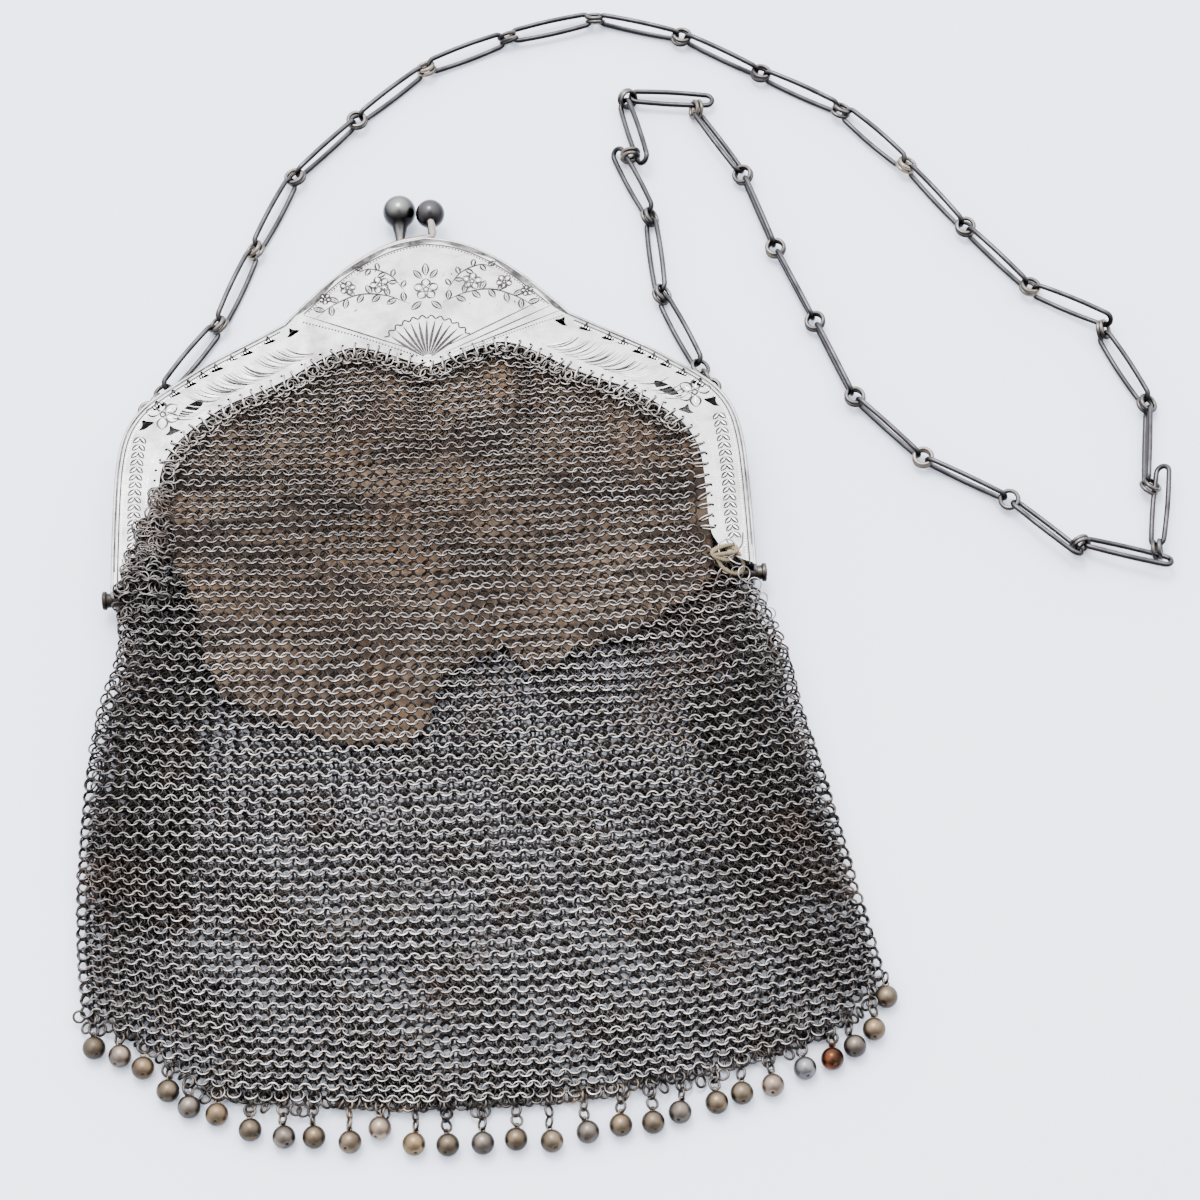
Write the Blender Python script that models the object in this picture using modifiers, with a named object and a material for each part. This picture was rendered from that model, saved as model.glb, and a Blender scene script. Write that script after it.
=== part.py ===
"""Silver ring-mesh purse: a pierced kiss-lock frame, a hollow mesh bag, ball drops and a long-link chain.

It lies on its back. Up in the tables is +Y, from the hinge line toward the clasp, and the floor is z = 0.
Lengths are in metres. Names that end in share or shares hold shares of the named sizes.
"""
import math

import bmesh
import bpy
import numpy as np
from mathutils import Matrix, Vector

CLEARANCE = 0.0003

FRAME_HALF_WIDTH = 0.0575
FRAME_HEIGHT = 0.0719
FRAME_DEPTH = 0.0086
PLATE = 0.0009
RIM = 0.0010
HINGE_NOTCH = 0.0018

# Right half of the outer edge, from the top of the dome to the arm end
FRAME_OUTER_SHARES = (  # across, up
    (0.000, 1.000), (0.105, 0.981), (0.252, 0.917), (0.360, 0.841), (0.466, 0.750), (0.642, 0.669),
    (0.793, 0.593), (0.859, 0.556), (0.918, 0.514), (0.957, 0.465), (0.979, 0.410), (0.995, 0.304),
    (1.000, -0.010),
)

# Right half of the inner edge, from the middle point down the arm, with the bag column that hangs there.
# A column with more ease keeps close to the arm before it spreads toward the hem.
FRAME_INNER_SHARES = (  # across, up, hem across, fold, lining length, ease
    (0.000, 0.603, 0.000, -0.7, 0.43, 1.0),
    (0.144, 0.648, 0.147, 0.5, 0.42, 1.0),
    (0.254, 0.667, 0.260, 0.9, 0.45, 1.0),
    (0.377, 0.622, 0.380, -0.8, 0.42, 1.0),
    (0.501, 0.564, 0.510, 0.3, 0.39, 1.0),
    (0.631, 0.518, 0.640, 0.8, 0.35, 1.0),
    (0.713, 0.477, 0.720, -0.6, 0.31, 1.1),
    (0.791, 0.421, 0.800, 0.4, 0.25, 1.3),
    (0.856, 0.330, 0.860, 0.0, 0.0, 2.2),
    (0.862, 0.100, 0.930, 0.0, 0.0, 1.6),
    (0.908, 0.035, 0.970, 0.0, 0.0, 1.3),
)
LINING_LEFT_SHARES = (0.43, 0.54, 0.54, 0.52, 0.49, 0.44, 0.32, 0.20)  # lining length of the left columns
ARM_TIP_SHARES = (0.980, -0.006)  # across, up
BAG_CORNER_SHARES = (0.958, -0.028)  # across, up

PIERCINGS_SHARES = (  # across, up, length, kind
    (0.438, 0.722, 1.0, "leaf"), (0.515, 0.701, 1.0, "leaf"), (0.587, 0.671, 1.0, "leaf"),
    (0.632, 0.651, 0.8, "leaf"), (0.683, 0.628, 1.0, "leaf"), (0.727, 0.606, 0.9, "leaf"),
    (0.769, 0.583, 1.0, "leaf"), (0.817, 0.555, 1.0, "leaf"), (0.868, 0.523, 1.2, "leaf"),
    (0.757, 0.507, 2.4, "lens"), (0.905, 0.470, 1.2, "leaf"), (0.822, 0.450, 1.1, "leaf"),
)
PIERCING_LENGTH = 0.0020
PIERCING_WIDTH = 0.0012

EYE_RADIUS = 0.0016
EYE_WIRE = 0.00045
EYE_REACH = 0.0018
EYE_PLACE_SHARES = (0.885, 0.539)  # across, up
EYE_DIRECTION = (0.64, 0.77)
EYE_HEIGHT = 0.0023

HINGE_RADIUS = 0.00145
HINGE_FLANGE = 0.0017
HINGE_INSET = 0.0015
HINGE_LENGTH = 0.0034
FLANGE_LENGTH = 0.0009

LARGE_BALL_RADIUS = 0.00315
LARGE_BALL_SHIFT = -0.0048
LARGE_BALL_RISE = 0.0089
LARGE_BALL_LEVEL_SHARE = 0.44
SMALL_BALL_RADIUS = 0.00275
SMALL_BALL_SHIFT = 0.0011
SMALL_BALL_RISE = 0.0071
SMALL_BALL_LEVEL_SHARE = 0.63
NECK_RADIUS = 0.0011
NECK_FLARE = 1.25
NECK_SEAT_SHARE = 0.99  # of the frame's height
STRIP_RADIUS = 0.0007
STRIP_LENGTH = 0.0040
STRIP_LEVEL_SHARE = 0.74  # of the frame's depth

BAG_DEPTH = 0.0083
BAG_WALL = 0.0010
BAG_CLEARANCE = 0.0004
BAG_DROP = 0.0958
HEM_HALF_WIDTH = 0.0680
HEM_SHIFT = 0.0062
FOLD_DEPTH = 0.0004
FOLD_START_SHARE = 0.12  # down
LEFT_BULGE = 0.0041
RIGHT_BULGE = 0.0032
RIGHT_BULGE_POWER = 0.6
BULGE_FADE_POWER = 12
HEM_SHARES = (  # across, down
    (-1.00, 0.812), (-0.88, 0.845), (-0.77, 0.909), (-0.67, 0.961), (-0.46, 0.983), (-0.20, 1.000),
    (0.27, 0.994), (0.52, 0.967), (0.77, 0.920), (0.90, 0.870), (1.00, 0.800),
)
BAG_ROWS_SHARES = (  # down, depth
    (0.00, 1.00), (0.12, 1.00), (0.24, 0.98), (0.38, 0.80), (0.55, 0.58), (0.76, 0.44), (1.00, 0.38),
)
INSIDE_ROWS_SHARES = (0.0, 0.24, 0.55, 0.85)  # down
SIDE_ROUNDING_SHARE = 0.1

LINING_THICKNESS = 0.0010
LINING_START_SHARE = 0.03
LINING_ROWS = 4

DROP_RADIUS = 0.00195
DROP_HANG = 0.0060
SHANK_RADIUS = 0.00035
DROPS_SHARES = (  # across, hang
    (-0.964, 0.69), (-0.900, 0.68), (-0.843, 0.63), (-0.781, 0.75), (-0.729, 0.80), (-0.661, 0.55),
    (-0.580, 0.90), (-0.498, 1.01), (-0.425, 0.95), (-0.338, 1.05), (-0.265, 0.62), (-0.183, 1.05),
    (-0.101, 1.14), (-0.016, 1.15), (0.065, 1.10), (0.152, 1.22), (0.240, 1.03), (0.321, 0.97),
    (0.400, 1.07), (0.467, 0.93), (0.558, 0.91), (0.621, 0.86), (0.698, 0.91), (0.780, 0.74),
    (0.849, 0.93), (0.907, 0.98), (0.958, 1.08), (0.996, 0.57),
)

LINK_LENGTH = 0.01686
LINK_WIDTH = 0.0040
LINK_WIRE = 0.0005
RING_RADIUS = 0.00162
RING_WIRE = 0.00043
SOLDER = 0.00025

# The chain's joints from the left end, in link lengths, each with the roll of the link that arrives there.
# A ring that has slid along a link's side, and not to its end, is marked with the side: 1 is left.
CHAIN_ROUTE = (  # across, up, roll, tail side, head side
    (-2.378, 3.404, 41, 0, 0), (-1.969, 4.336, 46, 0, 0), (-1.530, 5.261, 51, 0, 0),
    (-0.836, 6.055, 85, 0, 0), (-0.048, 6.749, 75, 0, 0), (0.896, 7.189, 46, 0, 0),
    (1.975, 7.444, 5, 0, 0), (3.001, 7.170, 85, 0, 0), (3.903, 6.613, 85, 0, 0),
    (4.822, 6.032, 75, 0, 0), (5.528, 5.202, 36, 0, 0), (6.144, 4.270, 83, 0, 0),
    (6.821, 3.410, 85, 0, 0), (7.485, 2.918, 60, 0, -1), (7.877, 1.892, 51, 0, 0),
    (7.752, 0.848, 80, 0, 0), (7.740, 0.137, 36, -1, 0), (6.922, 0.249, 29, -1, 0),
    (6.222, 0.824, 41, -1, 0), (5.320, 1.400, 85, 0, 0), (4.686, 2.165, 85, 0, 0),
    (4.300, 3.179, 83, 0, 0), (3.933, 4.176, 79, 0, 0), (3.647, 5.131, 85, 0, 0),
    (3.167, 6.097, 46, 0, 0), (2.373, 6.305, 5, 1, 0), (2.367, 5.510, 50, 0, -1),
    (2.538, 4.757, 46, 1, 0), (2.592, 3.695, 46, 0, 0),
)
LAST_ROLL = 51
END_RING_TILT = 65

UP = Vector((0.0, 0.0, 1.0))


def clear_scene():
    for obj in list(bpy.data.objects):
        bpy.data.objects.remove(obj)


def new_collection(name):
    collection = bpy.data.collections.new(name)
    bpy.context.scene.collection.children.link(collection)
    return collection


def metal(name, colour, roughness, metallic=1.0):
    material = bpy.data.materials.new(name)
    material.use_nodes = True
    shader = material.node_tree.nodes["Principled BSDF"]
    shader.inputs["Base Color"].default_value = (*colour, 1.0)
    shader.inputs["Roughness"].default_value = roughness
    shader.inputs["Metallic"].default_value = metallic
    material.diffuse_color = (*colour, 1.0)
    return material


def add_object(name, mesh, collection, material=None, round_angle=None):
    obj = bpy.data.objects.new(name, mesh)
    collection.objects.link(obj)
    if material is not None:
        mesh.materials.append(material)
    if round_angle is not None:
        mesh.shade_smooth()
        mesh.set_sharp_from_angle(angle=math.radians(round_angle))
    return obj


def hide_helper(obj):
    obj.hide_render = True
    obj.display_type = "WIRE"


def welded_mesh(curve_object):
    """Turn a filled curve into one closed mesh and remove the curve."""
    bpy.context.view_layer.update()
    graph = bpy.context.evaluated_depsgraph_get()
    mesh = bpy.data.meshes.new_from_object(curve_object.evaluated_get(graph))
    shape = bmesh.new()
    shape.from_mesh(mesh)
    bmesh.ops.remove_doubles(shape, verts=shape.verts, dist=1e-6)
    bmesh.ops.transform(shape, matrix=curve_object.matrix_world, verts=shape.verts)
    bmesh.ops.recalc_face_normals(shape, faces=shape.faces)
    shape.to_mesh(mesh)
    shape.free()
    bpy.data.objects.remove(curve_object)
    return mesh


def flat_plate(name, outlines, low, high):
    """A flat plate between two heights, one filled outline for each list of points."""
    curve = bpy.data.curves.new(name, "CURVE")
    curve.dimensions = "2D"
    curve.fill_mode = "BOTH"
    curve.extrude = (high - low) / 2
    for outline in outlines:
        spline = curve.splines.new("POLY")
        spline.points.add(len(outline) - 1)
        for point, place in zip(spline.points, outline):
            point.co = (place[0], place[1], 0.0, 1.0)
        spline.use_cyclic_u = True
    obj = bpy.data.objects.new(name + "_curve", curve)
    bpy.context.scene.collection.objects.link(obj)
    obj.location.z = (low + high) / 2
    return welded_mesh(obj)


def bent_wire(name, points, radius, sides_step=2):
    """A round wire through the points, as one closed mesh."""
    curve = bpy.data.curves.new(name, "CURVE")
    curve.dimensions = "3D"
    curve.bevel_depth = radius
    curve.bevel_resolution = sides_step
    curve.use_fill_caps = True
    spline = curve.splines.new("POLY")
    spline.points.add(len(points) - 1)
    for point, place in zip(spline.points, points):
        point.co = (*place, 1.0)
    obj = bpy.data.objects.new(name + "_curve", curve)
    bpy.context.scene.collection.objects.link(obj)
    return welded_mesh(obj)


def turned_mesh(name, profile, steps=10):
    """Turn a profile of (radius, height) pairs, listed top to bottom, round Z."""
    mesh = bpy.data.meshes.new(name)
    count = len(profile)
    mesh.from_pydata([(radius, 0.0, height) for radius, height in profile],
                     [(index, index + 1) for index in range(count - 1)], [])
    obj = bpy.data.objects.new(name + "_profile", mesh)
    bpy.context.scene.collection.objects.link(obj)
    screw = obj.modifiers.new("turn", "SCREW")
    screw.steps = steps
    screw.render_steps = steps
    screw.use_merge_vertices = True
    screw.merge_threshold = 1e-5
    screw.use_normal_calculate = True
    return welded_mesh(obj)


def place_on_axis(mesh, start, end):
    """Turn a mesh's Z axis from start toward end and put its origin at start."""
    turn = (end - start).to_track_quat("Z", "Y").to_matrix().to_4x4()
    mesh.transform(Matrix.Translation(start) @ turn)


def boolean(obj, other, operation):
    modifier = obj.modifiers.new(other.name, "BOOLEAN")
    modifier.operation = operation
    modifier.solver = "EXACT"
    modifier.object = other


def framed(row):
    """Metres for a table row of shares of the frame's half width and height."""
    return Vector((row[0] * FRAME_HALF_WIDTH, row[1] * FRAME_HEIGHT))


def both_sides(points):
    """The right half's points, and before them their mirror images, from left to right."""
    left = [Vector((-point.x, point.y)) for point in reversed(points)]
    return left[:-1] + points if points[0].x == 0 else left + points


def shifted_path(points, distance):
    """Move each point of an open path to its right by the distance."""
    moved = []
    for index, point in enumerate(points):
        before = points[max(index - 1, 0)]
        after = points[min(index + 1, len(points) - 1)]
        along = (after - before).normalized()
        moved.append(point + Vector((along.y, -along.x)) * distance)
    return moved


def outer_edge():
    return both_sides([framed(row) for row in FRAME_OUTER_SHARES])


def inner_edge():
    return both_sides([framed(row) for row in FRAME_INNER_SHARES] + [framed(ARM_TIP_SHARES)])


def piercing_outline(row, side):
    """A small leaf or lens that lies along the shoulder of the frame."""
    across, up, length, kind = row
    centre = framed((across, up))
    slope = shoulder_direction(centre.x)
    along = slope * PIERCING_LENGTH * length / 2
    out = Vector((-slope.y, slope.x)) * PIERCING_WIDTH / 2
    if kind == "lens":
        corners = (along, -out, -along, out)
    else:
        corners = (along, -along - out, -along * 0.7 + out)
    return [Vector((side * (centre + corner).x, (centre + corner).y)) for corner in corners]


def shoulder_direction(across):
    """Direction of the outer edge, heading away from the middle, at a distance across."""
    points = [framed(row) for row in FRAME_OUTER_SHARES]
    for start, end in zip(points, points[1:]):
        if start.x <= across <= end.x:
            return (end - start).normalized()
    return Vector((0.0, -1.0))


def pocket_outline():
    """The hollow of a frame half, open along the inner edge and beside the hinges."""
    outer = shifted_path(outer_edge(), RIM)[1:-1]
    inner = shifted_path(inner_edge(), RIM)
    near, far = FRAME_HALF_WIDTH - RIM, FRAME_HALF_WIDTH + RIM
    corners = ((near, HINGE_NOTCH), (far, HINGE_NOTCH), (far, -HINGE_NOTCH))
    left = [Vector((-x, y)) for x, y in reversed(corners)]
    right = [Vector(corner) for corner in corners]
    return left + outer + right + inner[::-1]


def half_frame(name, holes, levels, material, parts, helpers):
    """A shallow pan: a plate, and a rim wall along its outer edge.

    The levels are the heights of the pan's bottom and top, then of its pocket's bottom and top.
    """
    low, high, pocket_low, pocket_high = levels
    outline = outer_edge() + inner_edge()[::-1]
    body = add_object(name, flat_plate(name, [outline] + holes, low, high), parts, material)
    pocket_name = name + "_pocket"
    pocket_mesh = flat_plate(pocket_name, [pocket_outline()], pocket_low, pocket_high)
    pocket = add_object(pocket_name, pocket_mesh, helpers)
    hide_helper(pocket)
    boolean(body, pocket, "DIFFERENCE")
    return body


def front_frame(material, parts, helpers):
    low = (FRAME_DEPTH + CLEARANCE) / 2
    holes = [piercing_outline(row, side) for row in PIERCINGS_SHARES for side in (-1, 1)]
    levels = (low, FRAME_DEPTH, low - RIM, FRAME_DEPTH - PLATE)
    return half_frame("front_frame", holes, levels, material, parts, helpers)


def eye_centre(side):
    place = framed(EYE_PLACE_SHARES)
    out = Vector(EYE_DIRECTION).normalized() * EYE_REACH
    return Vector((side * (place.x + out.x), place.y + out.y, EYE_HEIGHT))


def ring_mesh(name, radius, wire, stretch=0.0, sides=10):
    """A round ring of wire, or a long link when it is stretched along X."""
    bpy.ops.mesh.primitive_torus_add(major_radius=radius, minor_radius=wire, major_segments=sides,
                                     minor_segments=5)
    obj = bpy.context.object
    mesh = obj.data
    mesh.name = name
    for vertex in mesh.vertices:
        vertex.co.x += math.copysign(stretch / 2, vertex.co.x)
    bpy.data.objects.remove(obj)
    return mesh


def joined_mesh(name, copies):
    """One mesh from (mesh, matrix) pairs."""
    shape = bmesh.new()
    for mesh, matrix in copies:
        copy = mesh.copy()
        copy.transform(matrix)
        shape.from_mesh(copy)
        bpy.data.meshes.remove(copy)
    result = bpy.data.meshes.new(name)
    shape.to_mesh(result)
    shape.free()
    return result


def back_frame(material, parts, helpers):
    high = (FRAME_DEPTH - CLEARANCE) / 2
    body = half_frame("back_frame", [], (0.0, high, PLATE, high + RIM), material, parts, helpers)
    eye = ring_mesh("eye", EYE_RADIUS, EYE_WIRE)
    copies = [(eye, Matrix.Translation(eye_centre(side))) for side in (-1, 1)]
    eyes = add_object("chain_eyes", joined_mesh("chain_eyes", copies), helpers)
    hide_helper(eyes)
    boolean(body, eyes, "UNION")
    return body


def hinges(material, parts):
    """A short barrel with an end flange, lying along X under each arm end."""
    shoulder = HINGE_LENGTH - FLANGE_LENGTH
    profile = [(0.0, HINGE_LENGTH), (HINGE_FLANGE, HINGE_LENGTH), (HINGE_FLANGE, shoulder),
               (HINGE_RADIUS, shoulder), (HINGE_RADIUS, 0.0), (0.0, 0.0)]
    for name, side in (("hinge_left", -1), ("hinge_right", 1)):
        mesh = turned_mesh(name, profile)
        start = Vector((side * (FRAME_HALF_WIDTH - HINGE_INSET), 0.0, FRAME_DEPTH / 2))
        place_on_axis(mesh, start, start + Vector((side * HINGE_LENGTH, 0.0, 0.0)))
        add_object(name, mesh, parts, material, 40)


def ball_on_neck(radius, neck_length):
    """Profile of a ball whose tapered neck runs down from it, from the top of the ball to the foot."""
    sweep = [math.radians(angle) for angle in (0, 35, 70, 105, 135)]
    ball = [(radius * math.sin(angle), radius * math.cos(angle)) for angle in sweep]
    foot = -neck_length
    waist = (-radius + foot) / 2
    return ball + [(NECK_RADIUS * NECK_FLARE, waist), (NECK_RADIUS, foot), (0.0, foot)]


def clasp_balls(material, parts):
    """The large ball stands on the back half, and the small one on a bent strip along the front half."""
    level = FRAME_DEPTH * LARGE_BALL_LEVEL_SHARE
    large = Vector((LARGE_BALL_SHIFT, FRAME_HEIGHT + LARGE_BALL_RISE, level))
    foot = Vector((large.x, FRAME_HEIGHT * NECK_SEAT_SHARE + CLEARANCE, FRAME_DEPTH / 4))
    profile = ball_on_neck(LARGE_BALL_RADIUS, (large - foot).length - CLEARANCE)
    mesh = turned_mesh("clasp_ball_large", profile)
    place_on_axis(mesh, large, large + (large - foot))
    add_object("clasp_ball_large", mesh, parts, material, 40)

    level = FRAME_DEPTH * SMALL_BALL_LEVEL_SHARE
    small = Vector((SMALL_BALL_SHIFT, FRAME_HEIGHT + SMALL_BALL_RISE, level))
    strip_y = FRAME_HEIGHT + CLEARANCE + STRIP_RADIUS
    corner = Vector((small.x, strip_y, FRAME_DEPTH * STRIP_LEVEL_SHARE))
    far_end = corner - Vector((STRIP_LENGTH, 0.0, 0.0))
    strip = bent_wire("clasp_strip", [far_end, corner, small], STRIP_RADIUS, 1)
    sphere = bmesh.new()
    bmesh.ops.create_uvsphere(sphere, u_segments=10, v_segments=6, radius=SMALL_BALL_RADIUS,
                              matrix=Matrix.Translation(small))
    mesh = bpy.data.meshes.new("clasp_ball_small")
    sphere.to_mesh(mesh)
    sphere.free()
    return add_object("clasp_ball_small", mesh, parts, material, 40), strip


def hem_height(across):
    """How far below the hinge line the hem lies at a share across it."""
    shares = [row[0] for row in HEM_SHARES]
    depths = [row[1] for row in HEM_SHARES]
    return -BAG_DROP * float(np.interp(across, shares, depths))


def hem_point(across):
    return Vector((HEM_SHIFT + HEM_HALF_WIDTH * across, hem_height(across)))


def bag_columns():
    """Top point, hem point, fold and lining length of each column, from left to right."""
    edge = both_sides([framed(row) for row in FRAME_INNER_SHARES] + [framed(BAG_CORNER_SHARES)])
    tops = shifted_path(edge, BAG_CLEARANCE)
    right = [row[2:6] for row in FRAME_INNER_SHARES] + [(1.0, 0.0, 0.0, 1.0)]
    left = [(-row[2], row[3], LINING_LEFT_SHARES[index] if index < len(LINING_LEFT_SHARES) else 0.0, row[5])
            for index, row in enumerate(FRAME_INNER_SHARES)][1:] + [(-1.0, 0.0, 0.0, 1.0)]
    shares = left[::-1] + right
    return [(top, hem_point(across), fold, lining, ease)
            for top, (across, fold, lining, ease) in zip(tops, shares)]


def bag_place(columns, index, down):
    """Place in plan of a point of the bag, with the sides' outward bulge."""
    top, hem, ease = columns[index][0], columns[index][1], columns[index][4]
    place = Vector((top.x + (hem.x - top.x) * down ** ease, top.y + (hem.y - top.y) * down))
    share = (index - (len(columns) - 1) / 2) / ((len(columns) - 1) / 2)
    if share < 0:
        bulge = -LEFT_BULGE * math.sin(math.pi * down)
    else:
        bulge = RIGHT_BULGE * math.sin(math.pi * down ** RIGHT_BULGE_POWER)
    place.x += bulge * abs(share) ** BULGE_FADE_POWER
    return place


def bag_depth(down):
    shares = np.array(BAG_ROWS_SHARES)
    return BAG_DEPTH * float(np.interp(down, shares[:, 0], shares[:, 1]))


def bag_front(columns, index, down):
    """Height of the bag's front face, with its soft folds."""
    fold = FOLD_DEPTH * (columns[index][2] - 1.0) * (1.0 - down)
    return bag_depth(down) + fold * min(1.0, down / FOLD_START_SHARE)


def bag_ring(columns, down, wall):
    """A closed ring round the bag at one row: the front from left to right, then the back."""
    last = len(columns) - 1
    front, back = [], []
    for index in range(last + 1):
        place = bag_place(columns, index, down)
        rounding = 0.0
        if index in (0, last):
            rounding = SIDE_ROUNDING_SHARE * bag_depth(down)
            neighbour = bag_place(columns, 1 if index == 0 else last - 1, down)
            place = place + (neighbour - place).normalized() * wall
        front.append(Vector((place.x, place.y, bag_front(columns, index, down) - wall - rounding)))
        back.append(Vector((place.x, place.y, wall + rounding)))
    return front + back[::-1]


def lofted_mesh(name, rings):
    """Join rings of points with faces, and close both ends with strips across them."""
    shape = bmesh.new()
    rows = [[shape.verts.new(point) for point in ring] for ring in rings]
    count = len(rows[0])
    for first, second in zip(rows, rows[1:]):
        for index in range(count):
            after = (index + 1) % count
            shape.faces.new((first[index], first[after], second[after], second[index]))
    for row in (rows[0], rows[-1]):
        for index in range(count // 2 - 1):
            shape.faces.new((row[index], row[index + 1], row[count - 2 - index], row[count - 1 - index]))
    bmesh.ops.recalc_face_normals(shape, faces=shape.faces)
    mesh = bpy.data.meshes.new(name)
    shape.to_mesh(mesh)
    shape.free()
    return mesh


def mesh_bag(material, parts):
    """The ring mesh as one hollow body, open between the frame halves and shut at the hem."""
    columns = bag_columns()
    outside = [bag_ring(columns, row[0], 0.0) for row in reversed(BAG_ROWS_SHARES)]
    inside = [bag_ring(columns, down, BAG_WALL) for down in INSIDE_ROWS_SHARES]
    add_object("mesh_bag", lofted_mesh("mesh_bag", outside + inside), parts, material, 50)


def lining(material, parts):
    """The torn lining behind the front mesh, longer on the left."""
    columns = bag_columns()
    hung = [index for index, column in enumerate(columns) if column[3] > 0]
    shape = bmesh.new()
    rows = []
    for step in range(LINING_ROWS + 1):
        row = []
        for index in hung:
            down = LINING_START_SHARE + (columns[index][3] - LINING_START_SHARE) * step / LINING_ROWS
            place = bag_place(columns, index, down)
            height = bag_front(columns, index, down) - BAG_WALL - CLEARANCE
            row.append(shape.verts.new((place.x, place.y, height)))
        rows.append(row)
    for first, second in zip(rows, rows[1:]):
        for index in range(len(hung) - 1):
            shape.faces.new((first[index], second[index], second[index + 1], first[index + 1]))
    mesh = bpy.data.meshes.new("lining")
    shape.to_mesh(mesh)
    shape.free()
    obj = add_object("lining", mesh, parts, material, 50)
    shell = obj.modifiers.new("thickness", "SOLIDIFY")
    shell.thickness = LINING_THICKNESS
    shell.offset = -1.0
    return obj


def drops(material, parts):
    """A ball on a short tapered shank, under each hanging point of the hem."""
    for number, (across, hang) in enumerate(DROPS_SHARES, start=1):
        top = hem_point(across)
        length = DROP_HANG * hang
        shank = length - CLEARANCE
        start = math.asin(SHANK_RADIUS / DROP_RADIUS)
        sweep = [start + (math.pi - start) * step / 4 for step in range(5)]
        ball = [(DROP_RADIUS * math.sin(angle), DROP_RADIUS * math.cos(angle)) for angle in sweep]
        ball[-1] = (0.0, -DROP_RADIUS)
        profile = [(0.0, shank)] + ball
        name = f"drop_{number:02d}"
        mesh = turned_mesh(name, profile)
        centre = Vector((top.x, top.y - length, DROP_RADIUS))
        place_on_axis(mesh, centre, centre + Vector((0.0, 1.0, 0.0)))
        add_object(name, mesh, parts, material, 50)


def flat_turn(direction):
    """The direction a quarter turn to the left, in plan."""
    return Vector((-direction.y, direction.x, 0.0))


def unit(vector):
    return vector.normalized()


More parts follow.
